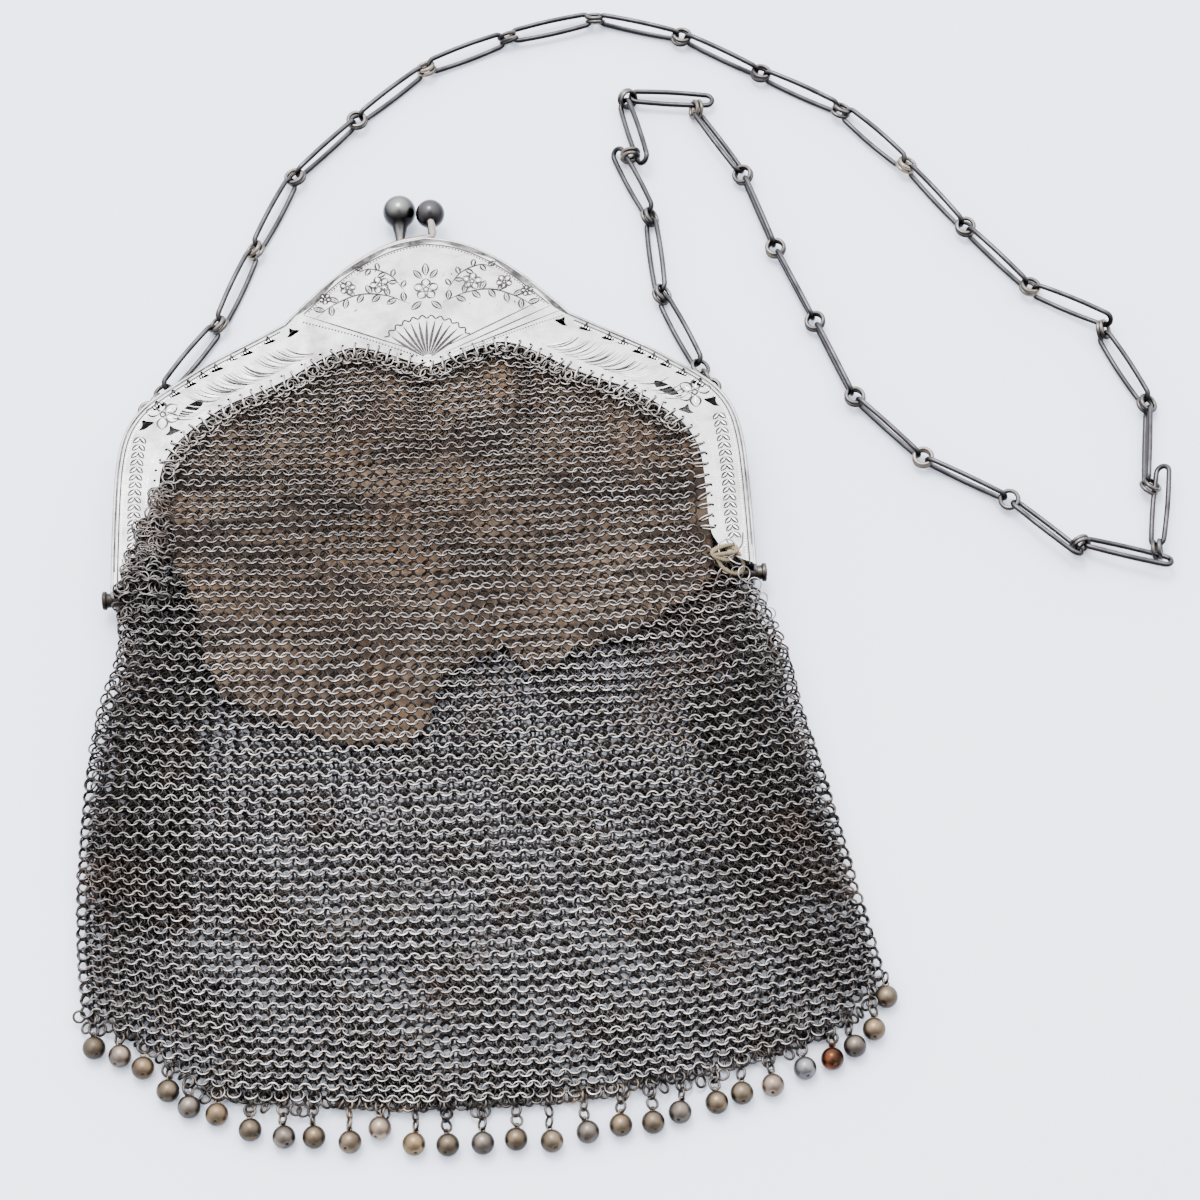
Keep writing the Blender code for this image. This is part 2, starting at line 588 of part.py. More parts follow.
class Chain:
    """Places the links and rings along the route, each ring touching the wires of both its links."""

    half = (LINK_LENGTH - 2 * LINK_WIRE) / 2
    side = (LINK_WIDTH - 2 * LINK_WIRE) / 2
    seat = RING_RADIUS - RING_WIRE - LINK_WIRE + SOLDER

    def __init__(self):
        self.rolls = [math.radians(row[2]) for row in CHAIN_ROUTE] + [math.radians(LAST_ROLL)]
        self.tails = [row[3] for row in CHAIN_ROUTE] + [0]
        self.heads = [row[4] for row in CHAIN_ROUTE] + [0]
        self.count = len(self.rolls)
        self.targets = [Vector((row[0], row[1], 0.0)) * LINK_LENGTH for row in CHAIN_ROUTE]
        self.eyes = [eye_centre(-1), eye_centre(1)]
        self.find_ends()
        self.find_directions()
        self.find_heights()
        self.walk()

    def find_ends(self):
        """Two interlocked rings between each eye and the chain."""
        first = unit((self.targets[0] - self.eyes[0]) * Vector((1, 1, 0)))
        last = unit((self.targets[-1] - self.eyes[1]) * Vector((1, 1, 0)))
        inner = EYE_RADIUS - EYE_WIRE - RING_WIRE - CLEARANCE + RING_RADIUS
        outer = inner + 2 * (RING_RADIUS - RING_WIRE) + SOLDER
        self.eye_rings = [(eye + way * inner, way) for eye, way in zip(self.eyes, (first, last))]
        self.targets = [self.eyes[0] + first * outer] + self.targets + [self.eyes[1] + last * outer]
        self.end_ways = (first, -last)

    def find_directions(self):
        """The way each ring points in plan, across both wires that it holds."""
        flat = [Vector((point.x, point.y, 0.0)) for point in self.targets]
        ways = [unit(after - before) for before, after in zip(flat, flat[1:])]
        self.ring_ways = [self.end_ways[0]]
        for index in range(1, self.count):
            arriving, leaving = ways[index - 1], ways[index]
            if self.heads[index - 1]:
                arriving = flat_turn(arriving) * self.heads[index - 1]
            if self.tails[index]:
                leaving = flat_turn(leaving) * -self.tails[index]
            self.ring_ways.append(unit(arriving + leaving))
        self.ring_ways.append(self.end_ways[1])

    def find_heights(self):
        """Each joint is as low as its ring and its two links can lie."""
        end_tilt = math.radians(END_RING_TILT)
        self.tilts = [end_tilt]
        heights = [EYE_HEIGHT]
        for index in range(1, self.count):
            arriving = 0.0 if self.heads[index - 1] else self.rolls[index - 1]
            leaving = 0.0 if self.tails[index] else self.rolls[index]
            tilt = (arriving + leaving) / 2
            self.tilts.append(tilt)
            lowest = RING_RADIUS * math.cos(tilt) + RING_WIRE
            for link in (index - 1, index):
                lowest = max(lowest, self.side * math.sin(self.rolls[link]) + LINK_WIRE)
            heights.append(lowest)
        self.tilts.append(end_tilt)
        heights.append(EYE_HEIGHT)
        for target, height in zip(self.targets, heights):
            target.z = height

    def step(self, start, aim):
        """The point a taut link's length from start, toward aim, at aim's height."""
        rise = aim.z - start.z
        reach = math.sqrt((2 * self.half) ** 2 - rise ** 2)
        way = unit((aim - start) * Vector((1, 1, 0)))
        return Vector((start.x + way.x * reach, start.y + way.y * reach, aim.z))

    def walk(self):
        """Ring centres from both ends toward the link before the last two."""
        centres = list(self.targets)
        for index in range(1, self.count - 2):
            if self.tails[index - 1] or self.heads[index - 1]:
                continue
            start = centres[index - 1] + self.ring_ways[index - 1] * self.seat
            aim = self.targets[index] - self.ring_ways[index] * self.seat
            centres[index] = self.step(start, aim) + self.ring_ways[index] * self.seat
        for index in range(self.count - 1, self.count - 3, -1):
            start = centres[index + 1] - self.ring_ways[index + 1] * self.seat
            aim = self.targets[index] + self.ring_ways[index] * self.seat
            centres[index] = self.step(start, aim) - self.ring_ways[index] * self.seat
        self.centres = centres

    def link_matrix(self, link):
        """Where a link lies, from the points where its two rings hold it."""
        start = self.centres[link] + self.ring_ways[link] * self.seat
        end = self.centres[link + 1] - self.ring_ways[link + 1] * self.seat
        span = (end - start).length
        tail, head = Vector((-self.half, 0.0)), Vector((self.half, 0.0))
        slid = 2 * self.half - math.sqrt(max(span ** 2 - self.side ** 2, 0.0))
        if self.tails[link]:
            tail = Vector((-self.half + slid, self.side * self.tails[link]))
        elif self.heads[link]:
            head = Vector((self.half - slid, self.side * self.heads[link]))
        forward = unit(end - start)
        left = unit(UP.cross(forward))
        roll = self.rolls[link]
        across = left * math.cos(roll) + forward.cross(left) * math.sin(roll)
        lean = math.atan2(head.y - tail.y, head.x - tail.x)
        along = forward * math.cos(lean) - across * math.sin(lean)
        aside = forward * math.sin(lean) + across * math.cos(lean)
        centre = start - along * tail.x - aside * tail.y
        lowest = centre.z - abs(aside.z) * self.side - abs(along.z) * self.half - LINK_WIRE
        centre.z -= min(lowest, 0.0)
        normal = along.cross(aside)
        return Matrix.Translation(centre) @ Matrix((along, aside, normal)).transposed().to_4x4()

    @staticmethod
    def ring_matrix(centre, way, tilt):
        """A ring that stands along its way, leaning by the tilt."""
        standing = UP * math.cos(tilt) - flat_turn(way) * math.sin(tilt)
        axis = way.cross(standing)
        return Matrix.Translation(centre) @ Matrix((way, standing, axis)).transposed().to_4x4()


def shoulder_chain(material, parts, helpers):
    """Thirty long links and the rings between them, soldered into one body."""
    chain = Chain()
    long_link = ring_mesh("long_link", chain.side, LINK_WIRE, 2 * (chain.half - chain.side))
    round_ring = ring_mesh("round_ring", RING_RADIUS, RING_WIRE)
    links = [(long_link, chain.link_matrix(link)) for link in range(chain.count)]
    links += [(round_ring, Chain.ring_matrix(centre, way, 0.0)) for centre, way in chain.eye_rings]
    rings = [(round_ring, Chain.ring_matrix(centre, way, tilt))
             for centre, way, tilt in zip(chain.centres, chain.ring_ways, chain.tilts)]
    body = add_object("shoulder_chain", joined_mesh("shoulder_chain", links), parts, material, 50)
    ring_object = add_object("chain_rings", joined_mesh("chain_rings", rings), helpers)
    hide_helper(ring_object)
    boolean(body, ring_object, "UNION")
    weld = body.modifiers.new("slivers", "WELD")
    weld.merge_threshold = 0.0001
    return body


def centre_on_floor(parts):
    """Move the whole so that the middle of its lower face is the origin."""
    bpy.context.view_layer.update()
    graph = bpy.context.evaluated_depsgraph_get()
    lows, highs = [], []
    for obj in parts.objects:
        shape = obj.evaluated_get(graph)
        points = np.array([shape.matrix_world @ vertex.co for vertex in shape.data.vertices])
        lows.append(points.min(axis=0))
        highs.append(points.max(axis=0))
    low, high = np.min(lows, axis=0), np.max(highs, axis=0)
    return Vector((-(low[0] + high[0]) / 2, -(low[1] + high[1]) / 2, -low[2]))


def build():
    clear_scene()
    parts = new_collection("silver_mesh_purse")
    helpers = new_collection("cutters")
    bright = metal("bright_silver", (0.80, 0.79, 0.77), 0.28)
    front_frame(bright, parts, helpers)
    back_frame(metal("back_silver", (0.70, 0.69, 0.67), 0.34), parts, helpers)
    hinges(metal("dark_hinge", (0.22, 0.20, 0.19), 0.40), parts)
    small_ball, strip = clasp_balls(metal("dark_ball_silver", (0.38, 0.37, 0.37), 0.22), parts)
    strip_object = add_object("clasp_strip", strip, helpers)
    hide_helper(strip_object)
    boolean(small_ball, strip_object, "UNION")
    mesh_bag(metal("mesh_silver", (0.42, 0.40, 0.38), 0.42), parts)
    lining(metal("brown_lining", (0.36, 0.26, 0.19), 0.85, 0.0), parts)
    shoulder_chain(metal("oxidised_silver", (0.30, 0.29, 0.30), 0.33), parts, helpers)
    drops(metal("brassy_ball", (0.45, 0.39, 0.29), 0.38), parts)
    move = centre_on_floor(parts)
    for obj in list(parts.objects) + list(helpers.objects):
        obj.location += move
    print("moved by", [round(value * 1000, 3) for value in move])


build()
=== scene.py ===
"""Looks for the silver ring-mesh purse. Plan lengths are in millimetres in the purse's own axes.

The purse's axes have X along the hinge line, Y toward the clasp and their origin midway between the
hinges. Until it becomes a piece, a mesh is a pair of arrays: vertices and four-cornered faces.
"""
import math

import bpy
import numpy as np
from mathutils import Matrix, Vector
from mathutils.bvhtree import BVHTree
from mathutils.geometry import delaunay_2d_cdt

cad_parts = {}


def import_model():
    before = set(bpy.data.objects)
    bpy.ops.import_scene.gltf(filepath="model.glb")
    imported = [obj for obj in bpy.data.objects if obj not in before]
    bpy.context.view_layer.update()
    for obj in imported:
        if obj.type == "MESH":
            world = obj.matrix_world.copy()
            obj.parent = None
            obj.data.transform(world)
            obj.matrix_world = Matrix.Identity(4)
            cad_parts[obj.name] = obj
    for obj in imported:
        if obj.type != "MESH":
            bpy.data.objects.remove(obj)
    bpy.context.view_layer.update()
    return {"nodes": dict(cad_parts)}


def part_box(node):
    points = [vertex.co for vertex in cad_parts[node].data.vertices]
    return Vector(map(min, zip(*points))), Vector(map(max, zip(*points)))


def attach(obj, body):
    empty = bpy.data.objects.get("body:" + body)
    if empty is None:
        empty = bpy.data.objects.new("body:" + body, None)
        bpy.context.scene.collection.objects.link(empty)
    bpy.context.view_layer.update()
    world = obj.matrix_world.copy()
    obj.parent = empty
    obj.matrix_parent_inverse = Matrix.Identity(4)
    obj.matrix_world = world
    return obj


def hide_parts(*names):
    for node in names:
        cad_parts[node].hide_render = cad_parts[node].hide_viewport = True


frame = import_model()
rng = np.random.default_rng(11)

MM = 0.001
UP = np.array([0.0, 0.0, 1.0])
HALF_WIDTH, FRAME_TOP = 57.5, 71.9
PLATE_LOW, PLATE_HIGH, PLATE_TOP = 7.95, 8.45, 8.6
FRAME_LOW, FRAME_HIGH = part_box("front_frame")
ORIGIN = np.array([(FRAME_LOW[0] + FRAME_HIGH[0]) / 2 / MM, FRAME_HIGH[1] / MM - FRAME_TOP, 0.0])


def world(points):
    """Metres in the row frame from millimetres in the purse's axes."""
    return (np.asarray(points, float) + ORIGIN) * MM


# Outlines, right half, in the purse's axes
DOME = np.array([(0.0, 71.9), (5.0, 71.0), (9.5, 69.2), (14.4, 66.1), (18.6, 62.5), (22.2, 58.8),
                 (24.8, 56.1)])
SHOULDER = np.array([(26.6, 54.0), (31.5, 51.2), (36.9, 48.2), (41.2, 45.7), (45.4, 42.8), (49.2, 40.1),
                     (52.4, 37.3), (54.7, 34.1), (56.1, 30.6), (56.9, 26.2), (57.3, 20.5), (57.5, 10.0),
                     (57.5, -0.4)])
INNER = np.array([(0.0, 43.4), (4.1, 45.1), (8.3, 46.9), (11.6, 47.9), (14.4, 48.1), (17.8, 46.9),
                  (21.7, 44.7), (25.2, 42.4), (28.8, 40.5), (32.6, 38.9), (36.3, 37.3), (38.9, 35.7),
                  (41.4, 33.8), (43.6, 31.9), (45.6, 29.9), (47.4, 27.2), (48.7, 24.0), (49.2, 20.0),
                  (49.4, 15.0), (49.5, 9.0), (50.0, 5.8), (51.6, 3.2), (54.0, 1.2), (56.7, 0.0)])
# Sides of the bag: place up, and place across
BAG_LEFT = np.array([(1.0, -56.4), (-1.2, -57.0), (-7.0, -56.7), (-12.2, -57.0), (-16.0, -58.3),
                     (-19.9, -59.5), (-23.9, -60.6), (-29.0, -61.4), (-37.8, -62.4), (-47.1, -63.0),
                     (-56.3, -63.1), (-65.4, -62.9), (-74.4, -62.2), (-78.0, -61.7)])
BAG_RIGHT = np.array([(0.5, 55.6), (-4.7, 58.3), (-9.8, 60.3), (-14.9, 62.3), (-22.8, 63.4),
                      (-28.6, 64.6), (-34.5, 66.0), (-40.3, 67.3), (-46.1, 68.5), (-53.6, 69.9),
                      (-59.2, 71.1), (-64.8, 72.2), (-70.3, 73.3), (-75.0, 74.1)])
# Lower edges: place across, and place up
HEM = np.array([(-63.0, -77.6), (-58.4, -78.6), (-53.4, -81.2), (-50.0, -83.9), (-45.8, -87.3),
                (-43.2, -90.1), (-39.1, -92.1), (-34.9, -93.1), (-25.0, -94.3), (-8.4, -95.8),
                (0.0, -96.0), (8.2, -95.7), (18.2, -95.7), (24.8, -95.2), (31.6, -93.9), (41.7, -92.5),
                (50.2, -90.4), (58.7, -88.1), (63.9, -86.4), (67.5, -83.3), (71.2, -79.9), (74.5, -76.3)])
LINING_EDGE = np.array([(-52.0, 12.0), (-46.0, 4.0), (-42.9, -0.7), (-41.0, -12.7), (-38.0, -19.7),
                        (-24.3, -26.8), (-16.5, -29.5), (-4.8, -30.4), (-1.9, -25.4), (0.4, -18.7),
                        (3.1, -15.9), (11.2, -12.3), (16.3, -16.5), (19.8, -16.7), (23.5, -13.9),
                        (36.1, -10.6), (47.2, -3.1), (52.0, 2.0)])
# Edge of the mesh that lies over the left arm: place up, and place across
ARM_COVER = np.array([(-2.0, -57.0), (1.2, -55.7), (4.9, -54.1), (9.3, -52.8), (13.5, -52.0),
                      (15.5, -50.8), (18.8, -50.1), (24.1, -49.2)])
# Cut-outs: place across, place up, length, and 1 for a long lens
PIERCINGS = ((25.2, 52.0, 2.0, 0), (29.6, 50.5, 2.0, 0), (33.7, 48.2, 2.0, 0), (36.3, 47.0, 1.6, 0),
             (39.2, 45.0, 2.0, 0), (41.7, 43.6, 1.8, 0), (44.1, 41.9, 2.0, 0), (46.9, 40.0, 2.0, 0),
             (49.8, 37.6, 2.3, 0), (43.6, 36.0, 4.6, 1), (52.0, 33.6, 2.3, 0), (47.1, 32.1, 2.1, 0))
DROP_COUNT = 28


# Materials

class Tree:
    """The shader nodes of a material or a world."""

    def __init__(self, owner):
        owner.use_nodes = True
        self.owner = owner
        self.nodes, self.links = owner.node_tree.nodes, owner.node_tree.links

    def feed(self, socket, value):
        """Link a socket, or set it when the value is a constant."""
        if isinstance(value, bpy.types.NodeSocket):
            self.links.new(value, socket)
        else:
            socket.default_value = (*value, 1.0) if socket.type == "RGBA" else value

    def node(self, kind, inputs, **settings):
        made = self.nodes.new(kind)
        for name, value in settings.items():
            setattr(made, name, value)
        for key, value in inputs.items():
            self.feed(made.inputs[key], value)
        return made

    def span(self, value, low, high, to_low=0.0, to_high=1.0):
        """Map a value from one range to another, held at its ends."""
        ends = {"Value": value, "From Min": low, "From Max": high, "To Min": to_low, "To Max": to_high}
        return self.node("ShaderNodeMapRange", ends, clamp=True).outputs["Result"]

    def maths(self, operation, first, second, clamp=False):
        made = self.node("ShaderNodeMath", {0: first, 1: second}, operation=operation, use_clamp=clamp)
        return made.outputs[0]

    def times(self, first, second, clamp=False):
        return self.maths("MULTIPLY", first, second, clamp)

    def mix(self, mask, first, second):
        """One colour where the mask is 0 and another where it is 1."""
        return self.node("ShaderNodeMix", {0: mask, 6: first, 7: second}, data_type="RGBA").outputs[2]

    def noise(self, scale, detail=4.0, rough=0.55, stretch=None, low=0.35, high=0.65):
        """A noise mask from 0 to 1 in object space, with features of about one over scale metres."""
        place = self.nodes.new("ShaderNodeTexCoord").outputs["Object"]
        if stretch is not None:
            place = self.node("ShaderNodeMapping", {"Vector": place, "Scale": stretch}).outputs["Vector"]
        noise = self.node("ShaderNodeTexNoise",
                          {"Vector": place, "Scale": scale, "Detail": detail, "Roughness": rough})
        return self.span(noise.outputs["Fac"], low, high)

    def painted_top_light(self, low, high):
        """A mask that is 1 where the surface faces up, for painted light on upper faces."""
        normal = self.nodes.new("ShaderNodeNewGeometry").outputs["Normal"]
        return self.span(self.node("ShaderNodeSeparateXYZ", {0: normal}).outputs["Z"], low, high)


class Look(Tree):
    """A material with one Principled shader."""

    def __init__(self, name, metallic=0.0):
        super().__init__(bpy.data.materials.new(name))
        self.shader = self.nodes["Principled BSDF"]
        self.set("Metallic", metallic)

    def set(self, name, value):
        self.feed(self.shader.inputs[name], value)

    def bump(self, height, strength, distance):
        made = self.node("ShaderNodeBump", {"Height": height, "Strength": strength, "Distance": distance})
        self.set("Normal", made.outputs["Normal"])

    def pitted(self, scale):
        """The finest grain of worn wire and balls."""
        self.bump(self.noise(scale, 2.0, low=0.2, high=0.8), 0.12, 0.00004)


def metal_tarnish_and_top_light(name, dark, bright, roughness=(0.24, 0.42), low=0.1, high=0.9, grain=420.0, share=0.7,
               warm=None):
    """Tarnished metal, brighter where it faces up (painted top light, standing also for the polish of worn
    tops), with blotches at two scales.
    """
    look = Look(name, 1.0)
    spots, broad = look.noise(grain, 3.0), look.noise(grain / 9, 3.0)
    # Painted light: bright colour on faces that look up, dark tarnish below.
    mask = look.times(look.painted_top_light(low, high), look.span(spots, 0.0, 1.0, 1.0 - share, 1.0))
    mask = look.times(mask, look.span(broad, 0.0, 1.0, 0.7, 1.15), clamp=True)
    colour = look.mix(mask, dark, bright)
    if warm is not None:
        colour = look.mix(look.noise(grain / 4, 4.0, low=0.52, high=0.7), colour, warm)
    look.set("Base Color", colour)
    look.set("Roughness", look.span(spots, 0.0, 1.0, roughness[1], roughness[0]))
    look.pitted(grain * 7)
    return look.owner


def mesh_wire(name, dark, bright, warm):
    """Ring wire, polished where the mesh is rubbed, with painted light on faces that look up and painted
    shade on its lower arcs, folds and sides. The mask, partly wear and partly painted shade, is kept with the
    vertices.
    """
    look = Look(name, 1.0)
    wear_and_shade = look.node("ShaderNodeAttribute", {}, attribute_name="wear_and_shade").outputs["Fac"]
    spots = look.noise(380.0, 3.0)
    # Painted top light times the kept mask of wear and painted shade.
    mask = look.times(look.painted_top_light(0.15, 0.85), wear_and_shade)
    mask = look.times(mask, look.span(spots, 0.0, 1.0, 0.6, 1.1), clamp=True)
    tint = look.noise(90.0, 5.0, 0.6, None, 0.50, 0.70)
    look.set("Base Color", look.mix(look.times(tint, 0.7), look.mix(mask, dark, bright), warm))
    look.set("Roughness", look.span(spots, 0.0, 1.0, 0.40, 0.24))
    look.pitted(2600.0)
    return look.owner


def engraved_line(name, dark, light):
    """Blackened cut, stronger and weaker by turns."""
    look = Look(name, 0.7)
    look.set("Base Color", look.mix(look.noise(230.0, 4.0, 0.6, None, 0.40, 0.66), dark, light))
    look.set("Roughness", look.span(look.noise(1800.0, 2.0), 0.0, 1.0, 0.65, 0.42))
    return look.owner


def plate_silver(name, bright, stain, amount):
    """Rolled silver sheet with fine scratches, a soft hammered waviness and greyish lilac stains."""
    look = Look(name, 1.0)
    clouds = look.noise(95.0, 6.0, 0.62, low=0.50, high=0.72)
    streaks = look.noise(160.0, 4.0, 0.6, (1.0, 6.0, 1.0), low=0.55, high=0.75)
    mask = look.times(look.maths("MAXIMUM", clouds, look.times(streaks, 0.6)), amount)
    look.set("Base Color", look.mix(mask, bright, stain))
    look.set("Roughness", look.span(look.noise(300.0, 5.0, 0.6), 0.0, 1.0, 0.30, 0.46))
    scratch = look.noise(900.0, 3.0, 0.6, (1.0, 9.0, 1.0), 0.2, 0.8)
    waves = look.noise(130.0, 2.0, 0.5, None, 0.1, 0.9)
    look.bump(look.maths("ADD", look.times(scratch, 0.25), waves), 0.22, 0.00012)
    return look.owner


def lining_leather(name):
    """Thin brown lining: tan, with dark damp stains and crosswise creases, darkened along the creases partly
    by stains and partly by painted shade.
    """
    look = Look(name)
    colour = look.mix(look.noise(26.0, 5.0, 0.6, None, 0.36, 0.64), (0.085, 0.055, 0.037),
                      (0.310, 0.215, 0.148))
    rust = look.noise(55.0, 4.0, 0.6, (1.0, 1.6, 1.0), 0.54, 0.76)
    creases = look.noise(60.0, 5.0, 0.65, (0.55, 2.6, 1.0), 0.48, 0.60)
    blots = look.noise(85.0, 6.0, 0.7, None, 0.56, 0.64)
    # Creases darkened partly by stains, partly by painted shade in the folds.
    for mask, amount, stain in ((rust, 0.6, (0.250, 0.125, 0.050)), (creases, 0.92, (0.036, 0.024, 0.018)),
                                (blots, 0.8, (0.020, 0.015, 0.013))):
        colour = look.mix(look.times(mask, amount), colour, stain)
    look.set("Base Color", colour)
    look.set("Roughness", 0.82)
    look.set("Specular IOR Level", 0.25)
    pores = look.noise(1500.0, 3.0, 0.6, None, 0.2, 0.8)
    look.bump(look.maths("ADD", look.times(pores, 0.3), creases), 0.5, 0.0003)
    return look.owner


def thread_material(name, colour):
    """Waxed thread with a fine twist."""
    look = Look(name)
    place = look.nodes.new("ShaderNodeTexCoord").outputs["Object"]
    waves = look.node("ShaderNodeTexWave", {"Vector": place, "Scale": 900.0, "Distortion": 3.0})
    twist = waves.outputs["Fac"]
    look.set("Base Color", look.mix(twist, tuple(0.45 * value for value in colour), colour))
    look.set("Roughness", 0.75)
    look.bump(twist, 0.4, 0.0001)
    return look.owner


silver_plate = plate_silver("engraved_silver", (0.35, 0.34, 0.346), (0.11, 0.102, 0.107), 0.85)
silver_rim = plate_silver("polished_rim", (0.33, 0.322, 0.32), (0.06, 0.052, 0.05), 0.95)
silver_back = plate_silver("back_silver_sheet", (0.30, 0.29, 0.285), (0.09, 0.078, 0.072), 0.8)
engraved_dark = engraved_line("engraved_lines", (0.012, 0.010, 0.010), (0.050, 0.045, 0.046))
engraved_light = metal_tarnish_and_top_light("bright_cuts", (0.46, 0.45, 0.445), (0.72, 0.71, 0.71), (0.24, 0.36), 0.3)
tarnish_line = engraved_line("rim_tarnish", (0.025, 0.022, 0.022), (0.18, 0.17, 0.17))
mesh_metal = mesh_wire("mesh_wire", (0.036, 0.0315, 0.0295), (0.68, 0.63, 0.605), (0.15, 0.11, 0.09))
# The back layer's wire, darker than the same wire in front: painted shade inside the bag.
mesh_back_shaded_metal = mesh_wire("mesh_back_wire", (0.032, 0.028, 0.027), (0.24, 0.222, 0.215),
                            (0.09, 0.07, 0.058))
sewing_metal = metal_tarnish_and_top_light("sewing_wire", (0.035, 0.030, 0.026), (0.50, 0.475, 0.45), (0.20, 0.34), 0.2, 0.8,
                          share=0.35)
top_row_metal = metal_tarnish_and_top_light("top_row_wire", (0.020, 0.017, 0.015), (0.40, 0.37, 0.345), (0.24, 0.40), 0.3,
                           0.95, warm=(0.20, 0.15, 0.11))
chain_metal = metal_tarnish_and_top_light("chain_wire", (0.013, 0.0118, 0.0125), (0.108, 0.102, 0.107), (0.24, 0.40), 0.55,
                         1.0, 240.0, 0.6)
ring_metal = metal_tarnish_and_top_light("chain_ring_wire", (0.018, 0.0155, 0.0145), (0.19, 0.176, 0.166), (0.24, 0.40),
                        0.45, 1.0, 240.0, 0.6, (0.26, 0.21, 0.17))
drop_ring_metal = metal_tarnish_and_top_light("drop_ring_wire", (0.013, 0.0105, 0.009), (0.13, 0.115, 0.105), (0.26, 0.42),
                             0.3, 1.0, 320.0, 0.6, (0.20, 0.15, 0.11))
ball_dark = metal_tarnish_and_top_light("clasp_dark", (0.014, 0.0125, 0.013), (0.085, 0.08, 0.083), (0.20, 0.30), 0.35, 1.0,
                       190.0, 0.5)
ball_bright = metal_tarnish_and_top_light("clasp_bright", (0.015, 0.0135, 0.014), (0.27, 0.26, 0.255), (0.18, 0.28), 0.55,
                         1.0, 190.0, 0.4)
hinge_metal = metal_tarnish_and_top_light("hinge_dark", (0.012, 0.0105, 0.009), (0.09, 0.078, 0.066), (0.25, 0.42), 0.3, 1.0,
                         300.0)
strip_metal = metal_tarnish_and_top_light("clasp_strip", (0.15, 0.122, 0.10), (0.33, 0.295, 0.26), (0.2, 0.34), -0.2, 0.8,
                         200.0, 0.5)
lining_material = lining_leather("brown_lining_sheet")
thread_beige = thread_material("waxed_thread", (0.27, 0.205, 0.115))


# Mesh builders

def array_mesh(name, vertices, quads, material, smooth=True):
    """An object from arrays of vertices (metres) and four-cornered faces."""
    mesh = bpy.data.meshes.new(name)
    mesh.vertices.add(len(vertices))
    mesh.vertices.foreach_set("co", np.ascontiguousarray(vertices, np.float32).ravel())
    mesh.loops.add(4 * len(quads))
    mesh.loops.foreach_set("vertex_index", np.ascontiguousarray(quads, np.int32).ravel())
    mesh.polygons.add(len(quads))
    mesh.polygons.foreach_set("loop_start", np.arange(0, 4 * len(quads), 4, dtype=np.int32))
    mesh.polygons.foreach_set("use_smooth", np.full(len(quads), smooth))
    mesh.update(calc_edges=True)
    mesh.materials.append(material)
    obj = bpy.data.objects.new(name, mesh)
    bpy.context.scene.collection.objects.link(obj)
    return obj


def finish_piece(obj, slot, *nodes):
    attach(obj, "root")
    if nodes:
        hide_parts(*nodes)
    return obj


def piece(name, mesh, material, slot, *nodes, smooth=True, sharp=None):
    """A finished piece from a mesh in the purse's axes, with edges above an angle kept sharp."""
    obj = array_mesh(name, world(mesh[0]), mesh[1], material, smooth)
    if sharp is not None:
        obj.data.set_sharp_from_angle(angle=math.radians(sharp))
    return finish_piece(obj, slot, *nodes)


def curve_piece(name, kind, paths, radius, resolution, material, slot, thickness=None):
    """A round wire along paths, thicker or thinner where a share of its radius is given."""
    curve = bpy.data.curves.new(name + "_path", "CURVE")
    curve.dimensions = "3D"
    curve.bevel_depth = radius * MM
    curve.bevel_resolution = resolution
    curve.use_fill_caps = True
    for path in paths:
        spline = curve.splines.new(kind)
        spline.points.add(len(path) - 1)
        for number, (target, point) in enumerate(zip(spline.points, path)):
            target.co = (*world(point), 1.0)
            if thickness is not None:
                target.radius = thickness[number]
        if kind == "NURBS":
            spline.use_endpoint_u = True
            spline.order_u = 3
    curve.materials.append(material)
    obj = bpy.data.objects.new(name, curve)
    bpy.context.scene.collection.objects.link(obj)
    return finish_piece(obj, slot)


def unit(vector):
    return vector / np.linalg.norm(vector)


def grid_quads(rows, columns, wrap=False, turned=False):
    """Faces of a grid of vertices, closed across if it wraps, and facing the other way if turned."""
    index = np.arange(rows * columns).reshape(rows, columns)
    if wrap:
        index = np.hstack([index, index[:, :1]])
    corners = [index[:-1, :-1], index[1:, :-1], index[1:, 1:], index[:-1, 1:]]
    return np.stack(corners[:1] + corners[:0:-1] if turned else corners, axis=-1).reshape(-1, 4)


def tube_template(path, wire, sides):
    """Vertices and faces of a closed tube round a flat closed path, in millimetres."""
    path = np.asarray(path, float)
    after, before = np.roll(path, -1, axis=0), np.roll(path, 1, axis=0)
    along = after - before
    along /= np.linalg.norm(along, axis=1)[:, None]
    out = np.stack([along[:, 1], -along[:, 0]], axis=1)
    count = len(path)
    turn = np.arange(sides) * 2 * math.pi / sides + math.pi / 2
    vertices = np.zeros((count, sides, 3))
    vertices[:, :, 0] = path[:, None, 0] + out[:, None, 0] * np.cos(turn) * wire
    vertices[:, :, 1] = path[:, None, 1] + out[:, None, 1] * np.cos(turn) * wire
    vertices[:, :, 2] = np.sin(turn) * wire
    rows = np.arange(count)[:, None] * sides
    cols = np.arange(sides)[None, :]
    next_rows = np.roll(rows, -1, axis=0)
    next_cols = (cols + 1) % sides
    quads = np.stack([rows + cols, next_rows + cols, next_rows + next_cols, rows + next_cols], axis=-1)
    return vertices.reshape(-1, 3), quads.reshape(-1, 4)


def circle(radius, segments):
    turn = np.arange(segments) * 2 * math.pi / segments
    return np.stack([np.cos(turn), np.sin(turn)], axis=1) * radius


